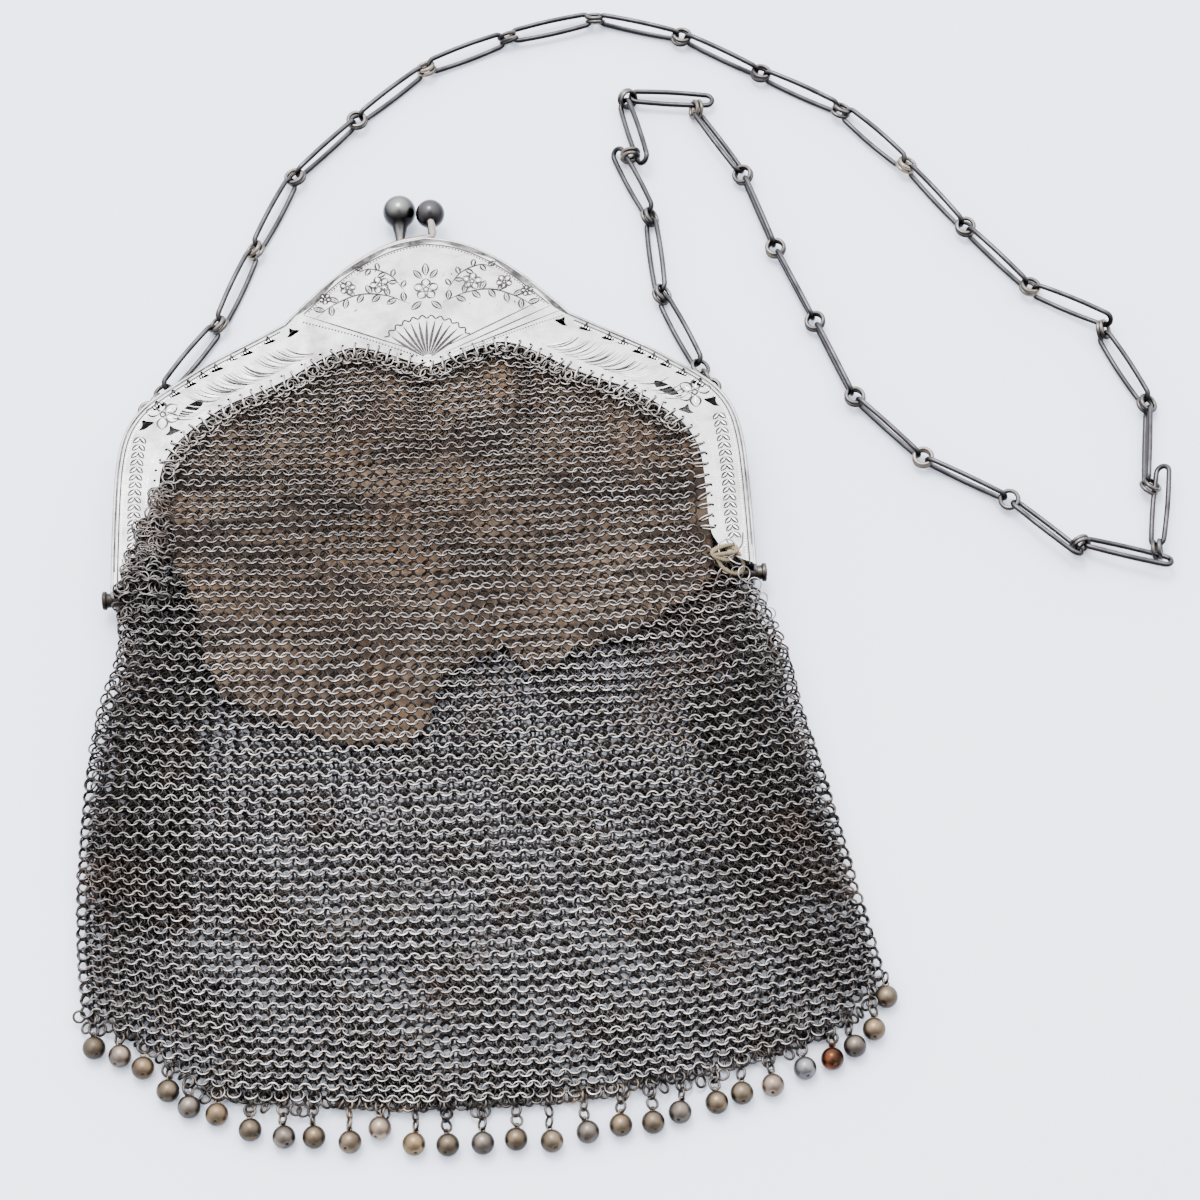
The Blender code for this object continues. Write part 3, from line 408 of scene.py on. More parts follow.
def copies(template, centres, first, second, scales=None):
    """Template copies at centres, with the template's X and Y along the two axes. All in millimetres."""
    vertices, quads = template
    third = np.cross(first, second)
    local = vertices[None, :, :]
    if scales is not None:
        local = local * scales[:, None, None]
    placed = (centres[:, None, :] + local[:, :, 0:1] * first[:, None, :]
              + local[:, :, 1:2] * second[:, None, :] + local[:, :, 2:3] * third[:, None, :])
    offsets = np.arange(len(centres))[:, None, None] * len(vertices)
    return placed.reshape(-1, 3), (quads[None, :, :] + offsets).reshape(-1, 4)



def placed_copies(template, rows, scales=None):
    """Copies from rows of centre, first axis and second axis."""
    return copies(template, *(np.array([row[number] for row in rows]) for number in range(3)), scales)


def joined(parts):
    """One pair of arrays from several pairs."""
    vertices, quads, total = [], [], 0
    for part_vertices, part_quads in parts:
        vertices.append(part_vertices)
        quads.append(part_quads + total)
        total += len(part_vertices)
    return np.concatenate(vertices), np.concatenate(quads)


def smooth_path(points, step):
    """Resample a path on a Catmull-Rom curve through its points."""
    points = np.asarray(points, float)
    padded = np.vstack([2 * points[0] - points[1], points, 2 * points[-1] - points[-2]])
    result = []
    for index in range(len(points) - 1):
        p0, p1, p2, p3 = padded[index:index + 4]
        pieces = max(1, int(round(np.linalg.norm(p2 - p1) / step)))
        for t in np.arange(pieces) / pieces:
            result.append(0.5 * (2 * p1 + (p2 - p0) * t + (2 * p0 - 5 * p1 + 4 * p2 - p3) * t ** 2
                                 + (3 * p1 - p0 - 3 * p2 + p3) * t ** 3))
    result.append(points[-1])
    return np.array(result)


def mirrored(path):
    """The left half's path before the right half's."""
    left = path[::-1] * (-1, 1)
    return np.vstack([left[:-1], path]) if abs(path[0, 0]) < 1e-9 else np.vstack([left, path])


def path_normals(path):
    """Unit vectors to the right of each point's heading."""
    along = np.gradient(path, axis=0)
    along /= np.linalg.norm(along, axis=1)[:, None]
    return np.stack([along[:, 1], -along[:, 0]], axis=1)


def offset_path(path, distance):
    return path + path_normals(path) * distance


outer_path = mirrored(np.vstack([smooth_path(DOME, 1.3), smooth_path(SHOULDER, 1.3)]))
inner_path = mirrored(smooth_path(INNER, 1.3))


# The bag's surface

bag_node = frame["nodes"]["mesh_bag"]
bag_tree = BVHTree.FromPolygons([vertex.co[:] for vertex in bag_node.data.vertices],
                                [polygon.vertices[:] for polygon in bag_node.data.polygons])
COLUMNS = 49.6
# Place up, and step between rows
ROW_STEPS = np.array([(-97.0, 1.75), (-88.0, 2.12), (-60.0, 2.26), (-30.0, 2.28), (12.0, 2.25),
                      (30.0, 2.08), (50.0, 1.95)])
# Place across, half width, depth, and reach below the frame's edge
FOLDS = ((-32.0, 2.4, 1.0, 26.0), (-2.0, 3.4, 1.2, 24.0), (17.5, 2.2, 1.1, 26.0), (29.5, 2.2, 0.8, 24.0),
         (-18.5, 2.6, 0.5, 20.0), (43.0, 2.6, 0.8, 34.0), (8.5, 2.0, 0.5, 18.0))
# Patches that darken the mesh: painted shade, and over the lining also oxidised wire; a negative amount
# lightens. Place across, place up, half width, half height, and amount
SHADED = ((-56.0, -14.0, 9.0, 18.0, 0.62), (61.0, -16.0, 9.0, 16.0, 0.62), (74.0, -56.0, 21.0, 50.0, 0.88),
          (-64.0, -50.0, 16.0, 44.0, 0.84), (47.0, -38.0, 12.0, 22.0, 0.28), (-2.0, -23.0, 4.0, 3.0, 0.6),
          (5.0, -15.0, 7.0, 2.5, 0.5), (-50.0, 12.0, 7.0, 15.0, 0.45), (44.0, 30.0, 7.0, 6.0, 0.35),
          (15.0, 41.0, 8.0, 4.0, 0.3), (-14.0, 42.0, 9.0, 4.0, 0.3), (20.0, -88.0, 26.0, 5.0, 0.2),
          (-20.0, -50.0, 20.0, 14.0, -0.12), (8.0, -70.0, 26.0, 10.0, -0.12), (-8.0, 16.0, 62.0, 36.0, 0.76))


def arm_x(y):
    """Place across of the frame's inner edge beside a place along the arm."""
    return np.interp(y, INNER[::-1, 1][:8], INNER[::-1, 0][:8])


def fold_share(x, y):
    """How deep in a fold a place lies, and how far the fold pulls the rings sideways."""
    below = inner_y(x) - y
    depth, pull = np.zeros_like(x), np.zeros_like(x)
    for place_x, width, deep, reach in FOLDS:
        line = place_x * (1 + 0.0015 * (40 - y))
        fade = np.clip(1.0 - below / reach, 0.0, 1.0) * np.clip(below / 4.0, 0.0, 1.0)
        bell = np.exp(-((x - line) / width) ** 2) * fade
        depth += deep * bell
        pull -= 0.45 * (x - line) * np.exp(-((x - line) / (1.6 * width)) ** 2) * fade * deep
    return depth, pull


def shade_and_tarnish_at(x, y, depth):
    """Brightness of the mesh: painted shade in its folds and at its sides, oxidised wire over the lining, and
    a few listed patches that are darker or lighter.
    """
    # Painted shade: the deeper in a fold, the darker the wire.
    tone = 1.0 - 0.55 * np.clip(depth, 0.0, 1.0)
    for place_x, place_y, across, along, amount in SHADED:
        tone = tone * (1 - amount * np.exp(-((x - place_x) / across) ** 2 - ((y - place_y) / along) ** 2))
    return tone


def side_left(y):
    return np.interp(-y, -BAG_LEFT[:, 0], BAG_LEFT[:, 1])


def side_right(y):
    return np.interp(-y, -BAG_RIGHT[:, 0], BAG_RIGHT[:, 1])


def inner_y(x):
    """Height in plan of the frame's inner edge above a place across."""
    return np.interp(np.abs(x), INNER[:18, 0], INNER[:18, 1])


def cad_front(x, y):
    """Height of the CAD bag's front face, or of its nearest part."""
    place = world((x, y, 30.0))
    hit = bag_tree.ray_cast(Vector(place), Vector((0.0, 0.0, -1.0)))
    if hit[0] is None:
        hit = bag_tree.find_nearest(Vector(world((x, y, 6.0))))
    return hit[0].z / MM


def height_table():
    """The CAD front face on a coarse grid, smoothed."""
    xs = np.arange(-70.0, 82.1, 2.0)
    ys = np.arange(-100.0, 52.1, 2.0)
    grid = np.array([[cad_front(x, y) for x in xs] for y in ys])
    inside = grid.copy()
    for row, y in enumerate(ys):
        left, right = side_left(min(y, 0.0)) + 4.0, side_right(min(y, 0.0)) - 4.0
        keep = (xs > left) & (xs < right)
        inside[row] = np.interp(xs, xs[keep], grid[row][keep])
    for _ in range(2):
        padded = np.pad(inside, 1, mode="edge")
        inside = (padded[:-2, 1:-1] + padded[2:, 1:-1] + padded[1:-1, :-2] + padded[1:-1, 2:]
                  + 2 * padded[1:-1, 1:-1]) / 6
    return xs, ys, inside


GRID_X, GRID_Y, GRID_Z = height_table()


def sample(x, y):
    """Bilinear height on the table."""
    fx = np.clip((x - GRID_X[0]) / 2.0, 0, len(GRID_X) - 1.001)
    fy = np.clip((y - GRID_Y[0]) / 2.0, 0, len(GRID_Y) - 1.001)
    ix, iy = fx.astype(int), fy.astype(int)
    tx, ty = fx - ix, fy - iy
    return ((GRID_Z[iy, ix] * (1 - tx) + GRID_Z[iy, ix + 1] * tx) * (1 - ty)
            + (GRID_Z[iy + 1, ix] * (1 - tx) + GRID_Z[iy + 1, ix + 1] * tx) * ty)


def edge_share(x, y):
    """How far a place is from the middle of the bag toward its side, from -1 to 1."""
    low = np.minimum(y, 0.0)
    left, right = side_left(low), side_right(low)
    return (x - (left + right) / 2) / ((right - left) / 2)


def front_height(x, y):
    """Height of the middle of the front mesh, with its folds, its waviness and its rounded sides."""
    base = sample(x, y) - 0.70 - fold_share(x, y)[0]
    base = base + 0.22 * np.sin(x * 0.21 + y * 0.05) * np.sin(y * 0.13 + 1.0) * np.clip((50 - y) / 40, 0, 1)
    share = np.clip(np.abs(edge_share(x, y)), 0.0, 1.0)
    below = np.clip((4.0 - y) / 4.0, 0.0, 1.0)
    middle = 0.5 * base + 0.5
    base = middle + (base - middle) * np.where(share < 1, np.sqrt(1 - share ** 14 * below), 0.3)
    gap = np.where(y > 24.0, inner_y(x) - y, np.where(y > -2.0, arm_x(y) - np.abs(x), 9.0))
    gap = np.minimum(gap, np.where(y > 0.0, 2.2 * np.clip(48.5 - np.abs(x), -1.0, 9.0) + 1.0, 9.0))
    base = base + (7.45 - base) * np.exp(-np.clip(gap, 0.0, 9.0) / 1.5) * np.clip((y + 1.0) / 4.0, 0.0, 1.0)
    cover = np.clip((-46.5 - x) / 2.5, 0, 1) * np.clip((22.0 - y) / 5.0, 0, 1)
    cover = cover * np.clip((y + 3.0) / 3.0, 0, 1)
    return base + cover * (PLATE_TOP + 0.75 - base)


def back_height(x, y):
    share = np.clip(np.abs(edge_share(x, y)), 0.0, 1.0)
    below = np.clip((4.0 - y) / 4.0, 0.0, 1.0)
    rise = 1 - np.where(share < 1, np.sqrt(1 - share ** 14 * below), 0.3)
    return 1.05 + rise * (sample(x, y) * 0.5 - 0.7)


def surface_axes(height, x, y):
    """Centres with unit vectors across, up the bag and out of it."""
    step = 0.8
    z = height(x, y)
    slope_x = (height(x + step, y) - height(x - step, y)) / (2 * step)
    slope_y = (height(x, y + step) - height(x, y - step)) / (2 * step)
    slope_x, slope_y = np.clip(slope_x, -1.2, 1.2), np.clip(slope_y, -1.2, 1.2)
    across = np.stack([np.ones_like(x), np.zeros_like(x), slope_x], axis=1)
    across /= np.linalg.norm(across, axis=1)[:, None]
    normal = np.stack([-slope_x, -slope_y, np.ones_like(x)], axis=1)
    normal /= np.linalg.norm(normal, axis=1)[:, None]
    up = np.cross(normal, across)
    return np.stack([x, y, z], axis=1), across, up, normal


def ring_places():
    """Plan places of all rings in one layer, and +1 for the rows that arch, -1 for those that dip."""
    rows, y = [], float(ROW_STEPS[0, 0])
    while y < ROW_STEPS[-1, 0]:
        rows.append(y)
        y += float(np.interp(y, ROW_STEPS[:, 0], ROW_STEPS[:, 1]))
    places, kinds = [], []
    for base in rows:
        step = float(np.interp(base, ROW_STEPS[:, 0], ROW_STEPS[:, 1]))
        for kind, shift, lift in ((1, 0.0, 0.0), (-1, 0.5, step / 2)):
            columns = np.arange(-int(COLUMNS / 2) - 1, int(COLUMNS / 2) + 2) + shift
            share = columns / (COLUMNS / 2)
            rise = np.clip((-base - 10.0) / 85.0, 0.0, 1.0) ** 1.5
            line = base + lift + 7.5 * rise * np.abs(share) ** 2.4 + 1.2 * (1 - rise) * np.abs(share) ** 3
            low = np.minimum(line, 0.0)
            left, right = side_left(low) + 0.6, side_right(low) - 0.6
            line = line + 0.30 * np.sin(share * 11.0 + base * 0.21) * np.sin(share * 4.0 - base * 0.09 + 1.0)
            wander = 0.42 * np.sin(line * 0.19 + columns * 0.8) + 0.30 * np.sin(line * 0.41 - columns * 0.33)
            x = (left + right) / 2 + share * (right - left) / 2 + wander * (1 - share ** 2)
            places.append(np.stack([x, line, share], axis=1))
            kinds.append(np.full(len(x), kind))
    places, kinds = np.concatenate(places), np.concatenate(kinds)
    x, y, share = places.T
    inside = np.abs(share) <= 1.0
    inside &= y > np.interp(x, HEM[:, 0], HEM[:, 1]) + 0.5
    return x[inside], y[inside], kinds[inside]


def inside_mouth(x, y, cover):
    """Keep what hangs below the frame's inner edge. The front also covers part of the left arm."""
    gap = np.where((x > 0) & (y < 20.0) & cover, 1.7, 0.2)
    keep = (y < inner_y(x) + 0.45) & ((y < -1.0) | (np.abs(x) < arm_x(y) - gap) | (y > 24.0))
    if cover:
        keep |= (x < 0) & (y > -1.5) & (y < 24.0) & (x > np.interp(y, ARM_COVER[:, 0], ARM_COVER[:, 1]))
    return keep


RING_RADIUS, RING_WIRE, BACK_WIRE = 1.15, 0.215, 0.27
SIDE_LOW = -62.0
# Brightness of a ring's high and low edges: polish and painted light on the high edge, tarnish and painted
# shade on the low one.
ARCH_WEAR_AND_LIGHT, ARCH_GAIN, DIP_WEAR_AND_LIGHT, DIP_GAIN = 0.52, 0.75, 0.32, 0.55
WIRE_SIDES = 3


def ring_layer(name, height, flip, segments, pieces, material, slot, *nodes):
    """All the rings of one layer, in a few joined meshes. Rows lean alternately, so that they interlock."""
    x, y, kinds = ring_places()
    keep = inside_mouth(x, y, not flip)
    x, y, kinds = x[keep], y[keep], kinds[keep]
    if flip:
        share = np.abs(edge_share(x, y))
        crowded = np.flatnonzero((share > 0.70) & (share < 0.95) & (y > SIDE_LOW) & (y < 2.0))
    else:
        crowded = np.repeat(np.flatnonzero((x < -47.0) & (y > -4.0) & (y < 24.0)), 2)
    x = np.concatenate([x, x[crowded] + rng.normal(0, 0.5, len(crowded))])
    y = np.concatenate([y, y[crowded] + rng.normal(0, 0.5, len(crowded))])
    kinds = np.concatenate([kinds, kinds[crowded]])
    loose = 1.0 + 1.3 * np.clip((x - 44) / 12, 0, 1) * np.clip(1 - np.abs(y + 12) / 14, 0, 1)
    loose += 0.8 * np.clip(np.abs(edge_share(x, y)) - 0.9, 0, 0.1) * 10
    loose += 1.2 * ((x < -47.0) & (y > -4.0))
    x = x + rng.normal(0, 0.07, len(x)) * loose
    y = y + rng.normal(0, 0.07, len(y)) * loose
    depth, pull = fold_share(x, y)
    # Random tone of each ring, times the painted shade of its folds, sides and patches.
    wear_and_shade = shade_and_tarnish_at(x, y, depth) * np.clip(rng.normal(0.90, 0.20, len(x)), 0.25, 1.15)
    x = x + pull
    centres, across, up, normal = surface_axes(height, x, y)
    if flip:
        normal = -normal
        across = -across
    lean = np.radians(np.where(kinds > 0, 35, 20) + rng.normal(0, 6, len(x)) * loose) * kinds
    yaw = np.radians(rng.normal(0, 9, len(x)) * loose)
    axis = across * np.cos(yaw)[:, None] + up * np.sin(yaw)[:, None]
    aside = up * np.cos(yaw)[:, None] - across * np.sin(yaw)[:, None]
    second = aside * np.cos(lean)[:, None] + normal * np.sin(lean)[:, None]
    template = tube_template(circle(RING_RADIUS, segments), BACK_WIRE if flip else RING_WIRE, WIRE_SIDES)
    for number, chosen in enumerate(np.array_split(np.argsort(y), pieces), start=1):
        mesh = copies(template, centres[chosen], axis[chosen], second[chosen])
        layer = piece(f"{name}_{number}", mesh, material, slot, *(nodes if number == 1 else ()))
        arched = kinds[chosen][:, None] > 0
        # Brightness kept with each vertex: high edges polished and lit, low edges tarnished and in painted
        # shade.
        rise = kinds[chosen][:, None] * template[0][None, :, 1] / RING_RADIUS
        rubbed_and_lit = np.where(arched, ARCH_WEAR_AND_LIGHT + ARCH_GAIN * rise, DIP_WEAR_AND_LIGHT + DIP_GAIN * rise).clip(0.0, 1.0)
        attribute = layer.data.attributes.new("wear_and_shade", "FLOAT", "POINT")
        attribute.data.foreach_set("value", (rubbed_and_lit * wear_and_shade[chosen][:, None]).astype(np.float32).ravel())


ring_layer("mesh_front", front_height, False, 12, 3, mesh_metal, "mesh_silver", "mesh_bag")
ring_layer("mesh_back", back_height, True, 8, 2, mesh_back_shaded_metal, "mesh_silver")


# Lining

LINING_DEPTH = 1.75


def lining_sheet():
    """A torn sheet that hangs inside the front mesh from the frame."""
    xs = np.arange(-50.0, 50.01, 1.0)
    shares = np.linspace(0.0, 1.0, 61)
    ragged = 0.9 * np.sin(xs * 1.7) * np.sin(xs * 0.63 + 1) + rng.normal(0, 0.35, len(xs))
    bottoms = np.interp(xs, LINING_EDGE[:, 0], LINING_EDGE[:, 1]) + ragged
    arm_top = np.interp(np.abs(xs), (0.0, 47.0, 48.0, 50.0), (60.0, 60.0, 26.0, 20.0))
    tops = np.minimum(inner_y(xs) + 0.6, arm_top)
    x = np.repeat(xs[None, :], len(shares), axis=0)
    y = tops[None, :] + (bottoms - tops)[None, :] * shares[:, None]
    crumple = 0.22 * np.sin(y * 0.55 + 0.8 * np.sin(x * 0.16)) + 0.15 * np.sin(x * 0.7 + y * 0.3)
    z = front_height(x.ravel(), y.ravel()).reshape(x.shape) - LINING_DEPTH + crumple
    z = np.where(np.abs(x) > 46.0, np.minimum(z, PLATE_TOP - 2.4), z)
    points = np.stack([x, y, z], axis=-1).reshape(-1, 3)
    sheet = array_mesh("lining_sheet", world(points), grid_quads(*x.shape), lining_material)
    solid = sheet.modifiers.new("thickness", "SOLIDIFY")
    solid.thickness = 0.25 * MM
    solid.offset = 0.0
    finish_piece(sheet, "brown_lining", "lining")


lining_sheet()


# Frame halves

def flat_plate(name, outline, holes, low, high, material):
    """A flat plate with holes, from a triangulation of its outlines."""
    points, faces = [], []
    for ring in [outline] + holes:
        turned = ring[:, 0] * np.roll(ring[:, 1], -1) - np.roll(ring[:, 0], -1) * ring[:, 1]
        ring = ring if turned.sum() > 0 else ring[::-1]
        faces.append(list(range(len(points), len(points) + len(ring))))
        points += [Vector(place_at) for place_at in ring.tolist()]
    flat = delaunay_2d_cdt(points, [], faces, 1, 1e-5)
    triangles = [face for face, sources in zip(flat[2], flat[5]) if list(sources) == [0]]
    corners = np.array([place_at[:] for place_at in flat[0]])
    count = len(corners)
    directed = {(face[k], face[(k + 1) % 3]) for face in triangles for k in range(3)}
    walls = [(b, a, a + count, b + count) for a, b in directed if (b, a) not in directed]
    bottom = [tuple(index + count for index in reversed(face)) for face in triangles]
    heights = np.repeat([high, low], count)
    mesh = bpy.data.meshes.new(name)
    mesh.from_pydata(world(np.column_stack([np.vstack([corners, corners]), heights])), [],
                     [tuple(face) for face in triangles] + bottom + walls)
    mesh.validate()
    mesh.materials.append(material)
    obj = bpy.data.objects.new(name, mesh)
    bpy.context.scene.collection.objects.link(obj)
    return obj


def swept_rim(path, profile):
    """A closed profile of (inward, height) pairs swept along an open path, closed at both ends."""
    inward = path_normals(path)
    count, sides = len(path), len(profile)
    vertices = np.zeros((count, sides, 3))
    for number, (distance, level) in enumerate(profile):
        vertices[:, number, :2] = path + inward * distance
        vertices[:, number, 2] = level
    index = np.arange(count * sides).reshape(count, sides)
    ends = []
    for row in (index[0], index[-1][::-1]):
        for step in range(0, sides - 2, 2):
            ends.append((row[0], row[step + 1], row[step + 2], row[min(step + 3, sides - 1)]))
    return vertices.reshape(-1, 3), np.vstack([grid_quads(count, sides, wrap=True, turned=True), ends])


def shoulder_slope(x):
    """Heading of the right outer edge at a place across."""
    right = outer_path[outer_path[:, 0] >= 0]
    index = int(np.argmin(np.abs(right[:, 0] - x)))
    index = min(max(index, 1), len(right) - 2)
    along = right[index + 1] - right[index - 1]
    return along / np.linalg.norm(along)


def piercing_outline(row, side):
    """Small leaf with hollow sides, or a long lens, cut through the plate."""
    x, y, length, kind = row
    along = shoulder_slope(x)
    out = np.array([-along[1], along[0]])
    half = length * 0.68
    if kind:
        shape = ((1, 0.05), (0.4, 0.32), (-0.3, 0.42), (-1, 0.25), (-0.75, -0.1), (0.0, -0.18))
    else:
        shape = ((1, 0.1), (0.25, 0.18), (-0.35, 0.62), (-0.5, 0.2), (-1, -0.35), (-0.1, -0.28), (0.5, -0.2))
    middle = np.array((x, y)) - out * (0.0 if kind else 0.30)
    deep = 1.0 if kind else 1.45
    points = [middle + along * half * a + out * half * b * deep for a, b in shape]
    outline = smooth_path(points + [points[0]], 0.5)[:-1]
    return outline * (side, 1)


def edge_stations(path, start, end, step):
    """Places and normals at even steps along a path, from start to end in millimetres of length."""
    lengths = np.concatenate([[0.0], np.cumsum(np.linalg.norm(np.diff(path, axis=0), axis=1))])
    wanted = np.arange(start, lengths[-1] - end, step)
    places = np.column_stack([np.interp(wanted, lengths, path[:, axis]) for axis in (0, 1)])
    normals = path_normals(path)
    turned = np.column_stack([np.interp(wanted, lengths, normals[:, axis]) for axis in (0, 1)])
    return places, turned / np.linalg.norm(turned, axis=1)[:, None]


SEW_STEP, SEW_INSET, SEW_HOLE = 2.12, 0.95, 0.27
BACK_THICK = 0.6
FRONT_RIM = ((0.0, 4.45), (0.0, 8.12), (0.07, 8.40), (0.20, 8.56), (0.35, PLATE_TOP), (0.50, 8.56),
             (0.60, 8.42), (0.60, PLATE_LOW), (0.45, PLATE_LOW), (0.45, 4.45))
# Profile of a dark wall of painted shade just inside the front rim.
FRONT_SHADE_WALL = ((0.46, 4.5), (0.46, 7.93), (0.52, 7.93), (0.52, 4.5))
BACK_RIM = ((0.50, 4.15), (0.50, BACK_THICK), (0.90, BACK_THICK), (0.90, 0.05), (0.45, 0.0), (0.18, 0.12),
            (0.0, 0.45), (0.0, 4.15))
sew_places, sew_normals = edge_stations(inner_path, 6.0, 9.5, SEW_STEP)
sew_places = sew_places + rng.normal(0, 0.10, (len(sew_places), 2))


def frame_halves():
    """Both plates with their rims, and a dark wall of painted shade inside the front rim."""
    outline = np.vstack([offset_path(outer_path, 0.50), inner_path[::-1]])
    holes = [piercing_outline(row, side) for row in PIERCINGS for side in (-1, 1)]
    holes += [spot - normal * SEW_INSET + circle(SEW_HOLE, 8)
              for spot, normal in zip(sew_places, sew_normals)]
    front = flat_plate("frame_front", outline, holes, PLATE_LOW, PLATE_HIGH, silver_plate)
    finish_piece(front, "bright_silver", "front_frame")
    piece("frame_front_rim", swept_rim(outer_path, FRONT_RIM), silver_rim, "bright_silver", sharp=35)
    # Painted shade: a dark wall inside the rim, seen through the cut-outs.
    piece("frame_front_shade_wall", swept_rim(outer_path, FRONT_SHADE_WALL), hinge_metal, "bright_silver")
    back = flat_plate("frame_back", outline, [], 0.0, BACK_THICK, silver_back)
    finish_piece(back, "back_silver", "back_frame")
    piece("frame_back_rim", swept_rim(outer_path, BACK_RIM), silver_rim, "back_silver", sharp=35)


frame_halves()


# Engraving

CUT_LEVEL, TARNISH_LEVEL = 8.475, 8.462
CUT_SCALE = {"dark": 1.15, "light": 0.85}
CUT_RIDGE = {"dark": -0.012, "light": 0.02}
POINT = np.array([0.0, 45.0])
right_edge = outer_path[outer_path[:, 0] >= 0]
dome_edge, shoulder_edge = right_edge[right_edge[:, 0] < 24.0], right_edge[right_edge[:, 0] > 27.0]


def heading(angle):
    return np.array([math.cos(angle), math.sin(angle)])


def closed_circle(radius, segments):
    ring = circle(radius, segments)
    return np.vstack([ring, ring[:1]])


class Engraving:
    """Tapered cuts with a shallow V across them, just above the plate."""

    def __init__(self):
        self.parts = {"dark": [], "light": []}

    def cut(self, points, width, kind="dark", taper=True):
        points = np.asarray(points, float)
        if len(points) == 2:
            points = np.vstack([points[0], points.mean(axis=0), points[1]])
        count = len(points)
        half = np.full(count, width * CUT_SCALE[kind])
        if taper:
            half *= np.sin(math.pi * np.clip(np.linspace(0, 1, count), 0.04, 0.96)) ** 0.7
        beside = path_normals(points) * half[:, None]
        vertices = np.full((count, 3, 3), CUT_LEVEL)
        vertices[:, :, :2] = np.stack([points - beside, points, points + beside], axis=1)
        vertices[:, 1, 2] += CUT_RIDGE[kind]
        self.parts[kind].append((vertices.reshape(-1, 3), grid_quads(count, 3, turned=True)))

    def arc(self, start, end, bulge, width, kind="dark", steps=7):
        start, end = np.asarray(start, float), np.asarray(end, float)
        span = end - start
        side = np.array([-span[1], span[0]]) * bulge
        share = np.linspace(0, 1, steps)[:, None]
        self.cut(start + span * share + side * 4 * share * (1 - share), width, kind)

    def leaf(self, base, direction, length, width, rib=True):
        base, way = np.asarray(base, float), unit(np.asarray(direction, float))
        for bulge in (0.5, -0.5):
            self.arc(base, base + way * length, width / length * bulge, 0.17)
        if rib:
            self.arc(base + way * length * 0.15, base + way * length * 0.8, 0.02, 0.10, steps=3)

    def blossom(self, centre, radius, turn):
        centre = np.asarray(centre, float)
        for petal in range(5):
            way = heading(turn + petal * 2 * math.pi / 5)
            self.leaf(centre + way * radius * 0.28, way, radius * 0.8, radius * 0.72, False)
            self.arc(centre + way * radius * 0.45, centre + way * radius * 0.8, 0.03, 0.14, "light", 3)
        self.cut(centre + closed_circle(radius * 0.22, 8), 0.12, taper=False)

    def dashes(self, path, step, length, turn, width, kind="light"):
        """Short strokes across a path, leaning to one side and the other by turns."""
        for number, (spot, normal) in enumerate(zip(*edge_stations(path, step, step, step))):
            lean = turn if number % 2 else -turn
            way = normal * math.cos(lean) + np.array([-normal[1], normal[0]]) * math.sin(lean)
            self.cut([spot - way * length / 2, spot + way * length / 2], width, kind)

    def leaves(self, stem, flip, stations, lean, size, pairs=False, rib=False):
        """Leaves that lean back from a stem, on its sides by turns or in pairs with bright ribs."""
        for number, (spot, normal) in enumerate(zip(*edge_stations(stem, *stations))):
            for way in (-1, 1) if pairs else (1 if number % 2 else -1,):
                direction = np.array([-normal[1], normal[0]]) * lean[0] + normal * way * lean[1]
                self.leaf(spot * flip, direction * flip, *size, rib)
                if pairs:
                    self.arc(spot * flip, (spot + unit(direction) * 1.5) * flip, 0.06, 0.17, "light", 3)

    def build(self):
        for kind, material in (("dark", engraved_dark), ("light", engraved_light)):
            piece(f"engraving_{kind}", joined(self.parts[kind]), material, "bright_silver", smooth=False)


def border(cuts, flip):
    """Lines and beads inside the rim, beside the arm and round its end."""
    inner = inner_path[inner_path[:, 0] >= 0]
    arm = inner[(inner[:, 1] < 30.0) & (inner[:, 0] < 52.0)]
    cuts.cut(offset_path(dome_edge, 1.65) * flip, 0.11, taper=False)
    cuts.cut(offset_path(shoulder_edge, 1.30) * flip, 0.11, taper=False)
    cuts.dashes(offset_path(dome_edge, 2.0) * flip, 0.62, 0.34, 0.5, 0.16, "dark")
    cuts.dashes(offset_path(shoulder_edge, 1.75) * flip, 0.55, 0.42, 0.55, 0.20)
    cuts.dashes(offset_path(arm, -2.1) * flip, 0.62, 0.40, 0.5, 0.18)
    end = smooth_path([(51.9, 4.6), (52.6, 3.0), (54.2, 2.2), (55.5, 3.4), (55.9, 6.0)], 0.6)
    cuts.dashes(end * flip, 0.5, 0.36, 0.5, 0.17)
    cuts.cut(offset_path(end, -0.5) * flip, 0.1, taper=False)


def feathers(cuts, flip):
    """Strokes that sweep from each cut-out over the shoulder."""
    for x in np.arange(19.5, 46.5, 0.36):
        top = np.interp(x + 2.0, shoulder_edge[:, 0], shoulder_edge[:, 1]) - 4.6
        foot = float(inner_y(x - 3.0)) + 1.9
        if x < 27.0:
            top = min(top, 53.0 - (27.0 - x) * 0.45)
        strength = 0.065 + 0.085 * rng.random()
        start = np.array([x - 3.2 + rng.normal(0, 0.2), foot + (top - foot) * (0.10 + 0.15 * rng.random())])
        end = np.array([x + 2.6 + rng.normal(0, 0.2), top - rng.random() * 0.8])
        if end[1] - start[1] > 1.0:
            kind = "dark" if rng.random() < 0.62 else "light"
            cuts.arc(start * flip, end * flip, -0.13 * flip[0], strength, kind)


def corner_flower(cuts, flip):
    """A flower round the cut-outs at the shoulder's corner."""
    centre = np.array([48.6, 35.6])
    for turn, size in ((0.3, 2.6), (1.35, 2.4), (2.5, 2.6), (3.6, 2.5), (4.75, 2.6)):
        way = heading(turn)
        cuts.leaf((centre + way * 0.6) * flip, way * flip, size, 1.9, False)
        cuts.arc((centre + way * 0.8) * flip, (centre + way * (size - 0.3)) * flip, 0.04, 0.16, "light", 4)
    cuts.cut((centre + closed_circle(0.5, 9)) * flip, 0.14, taper=False)


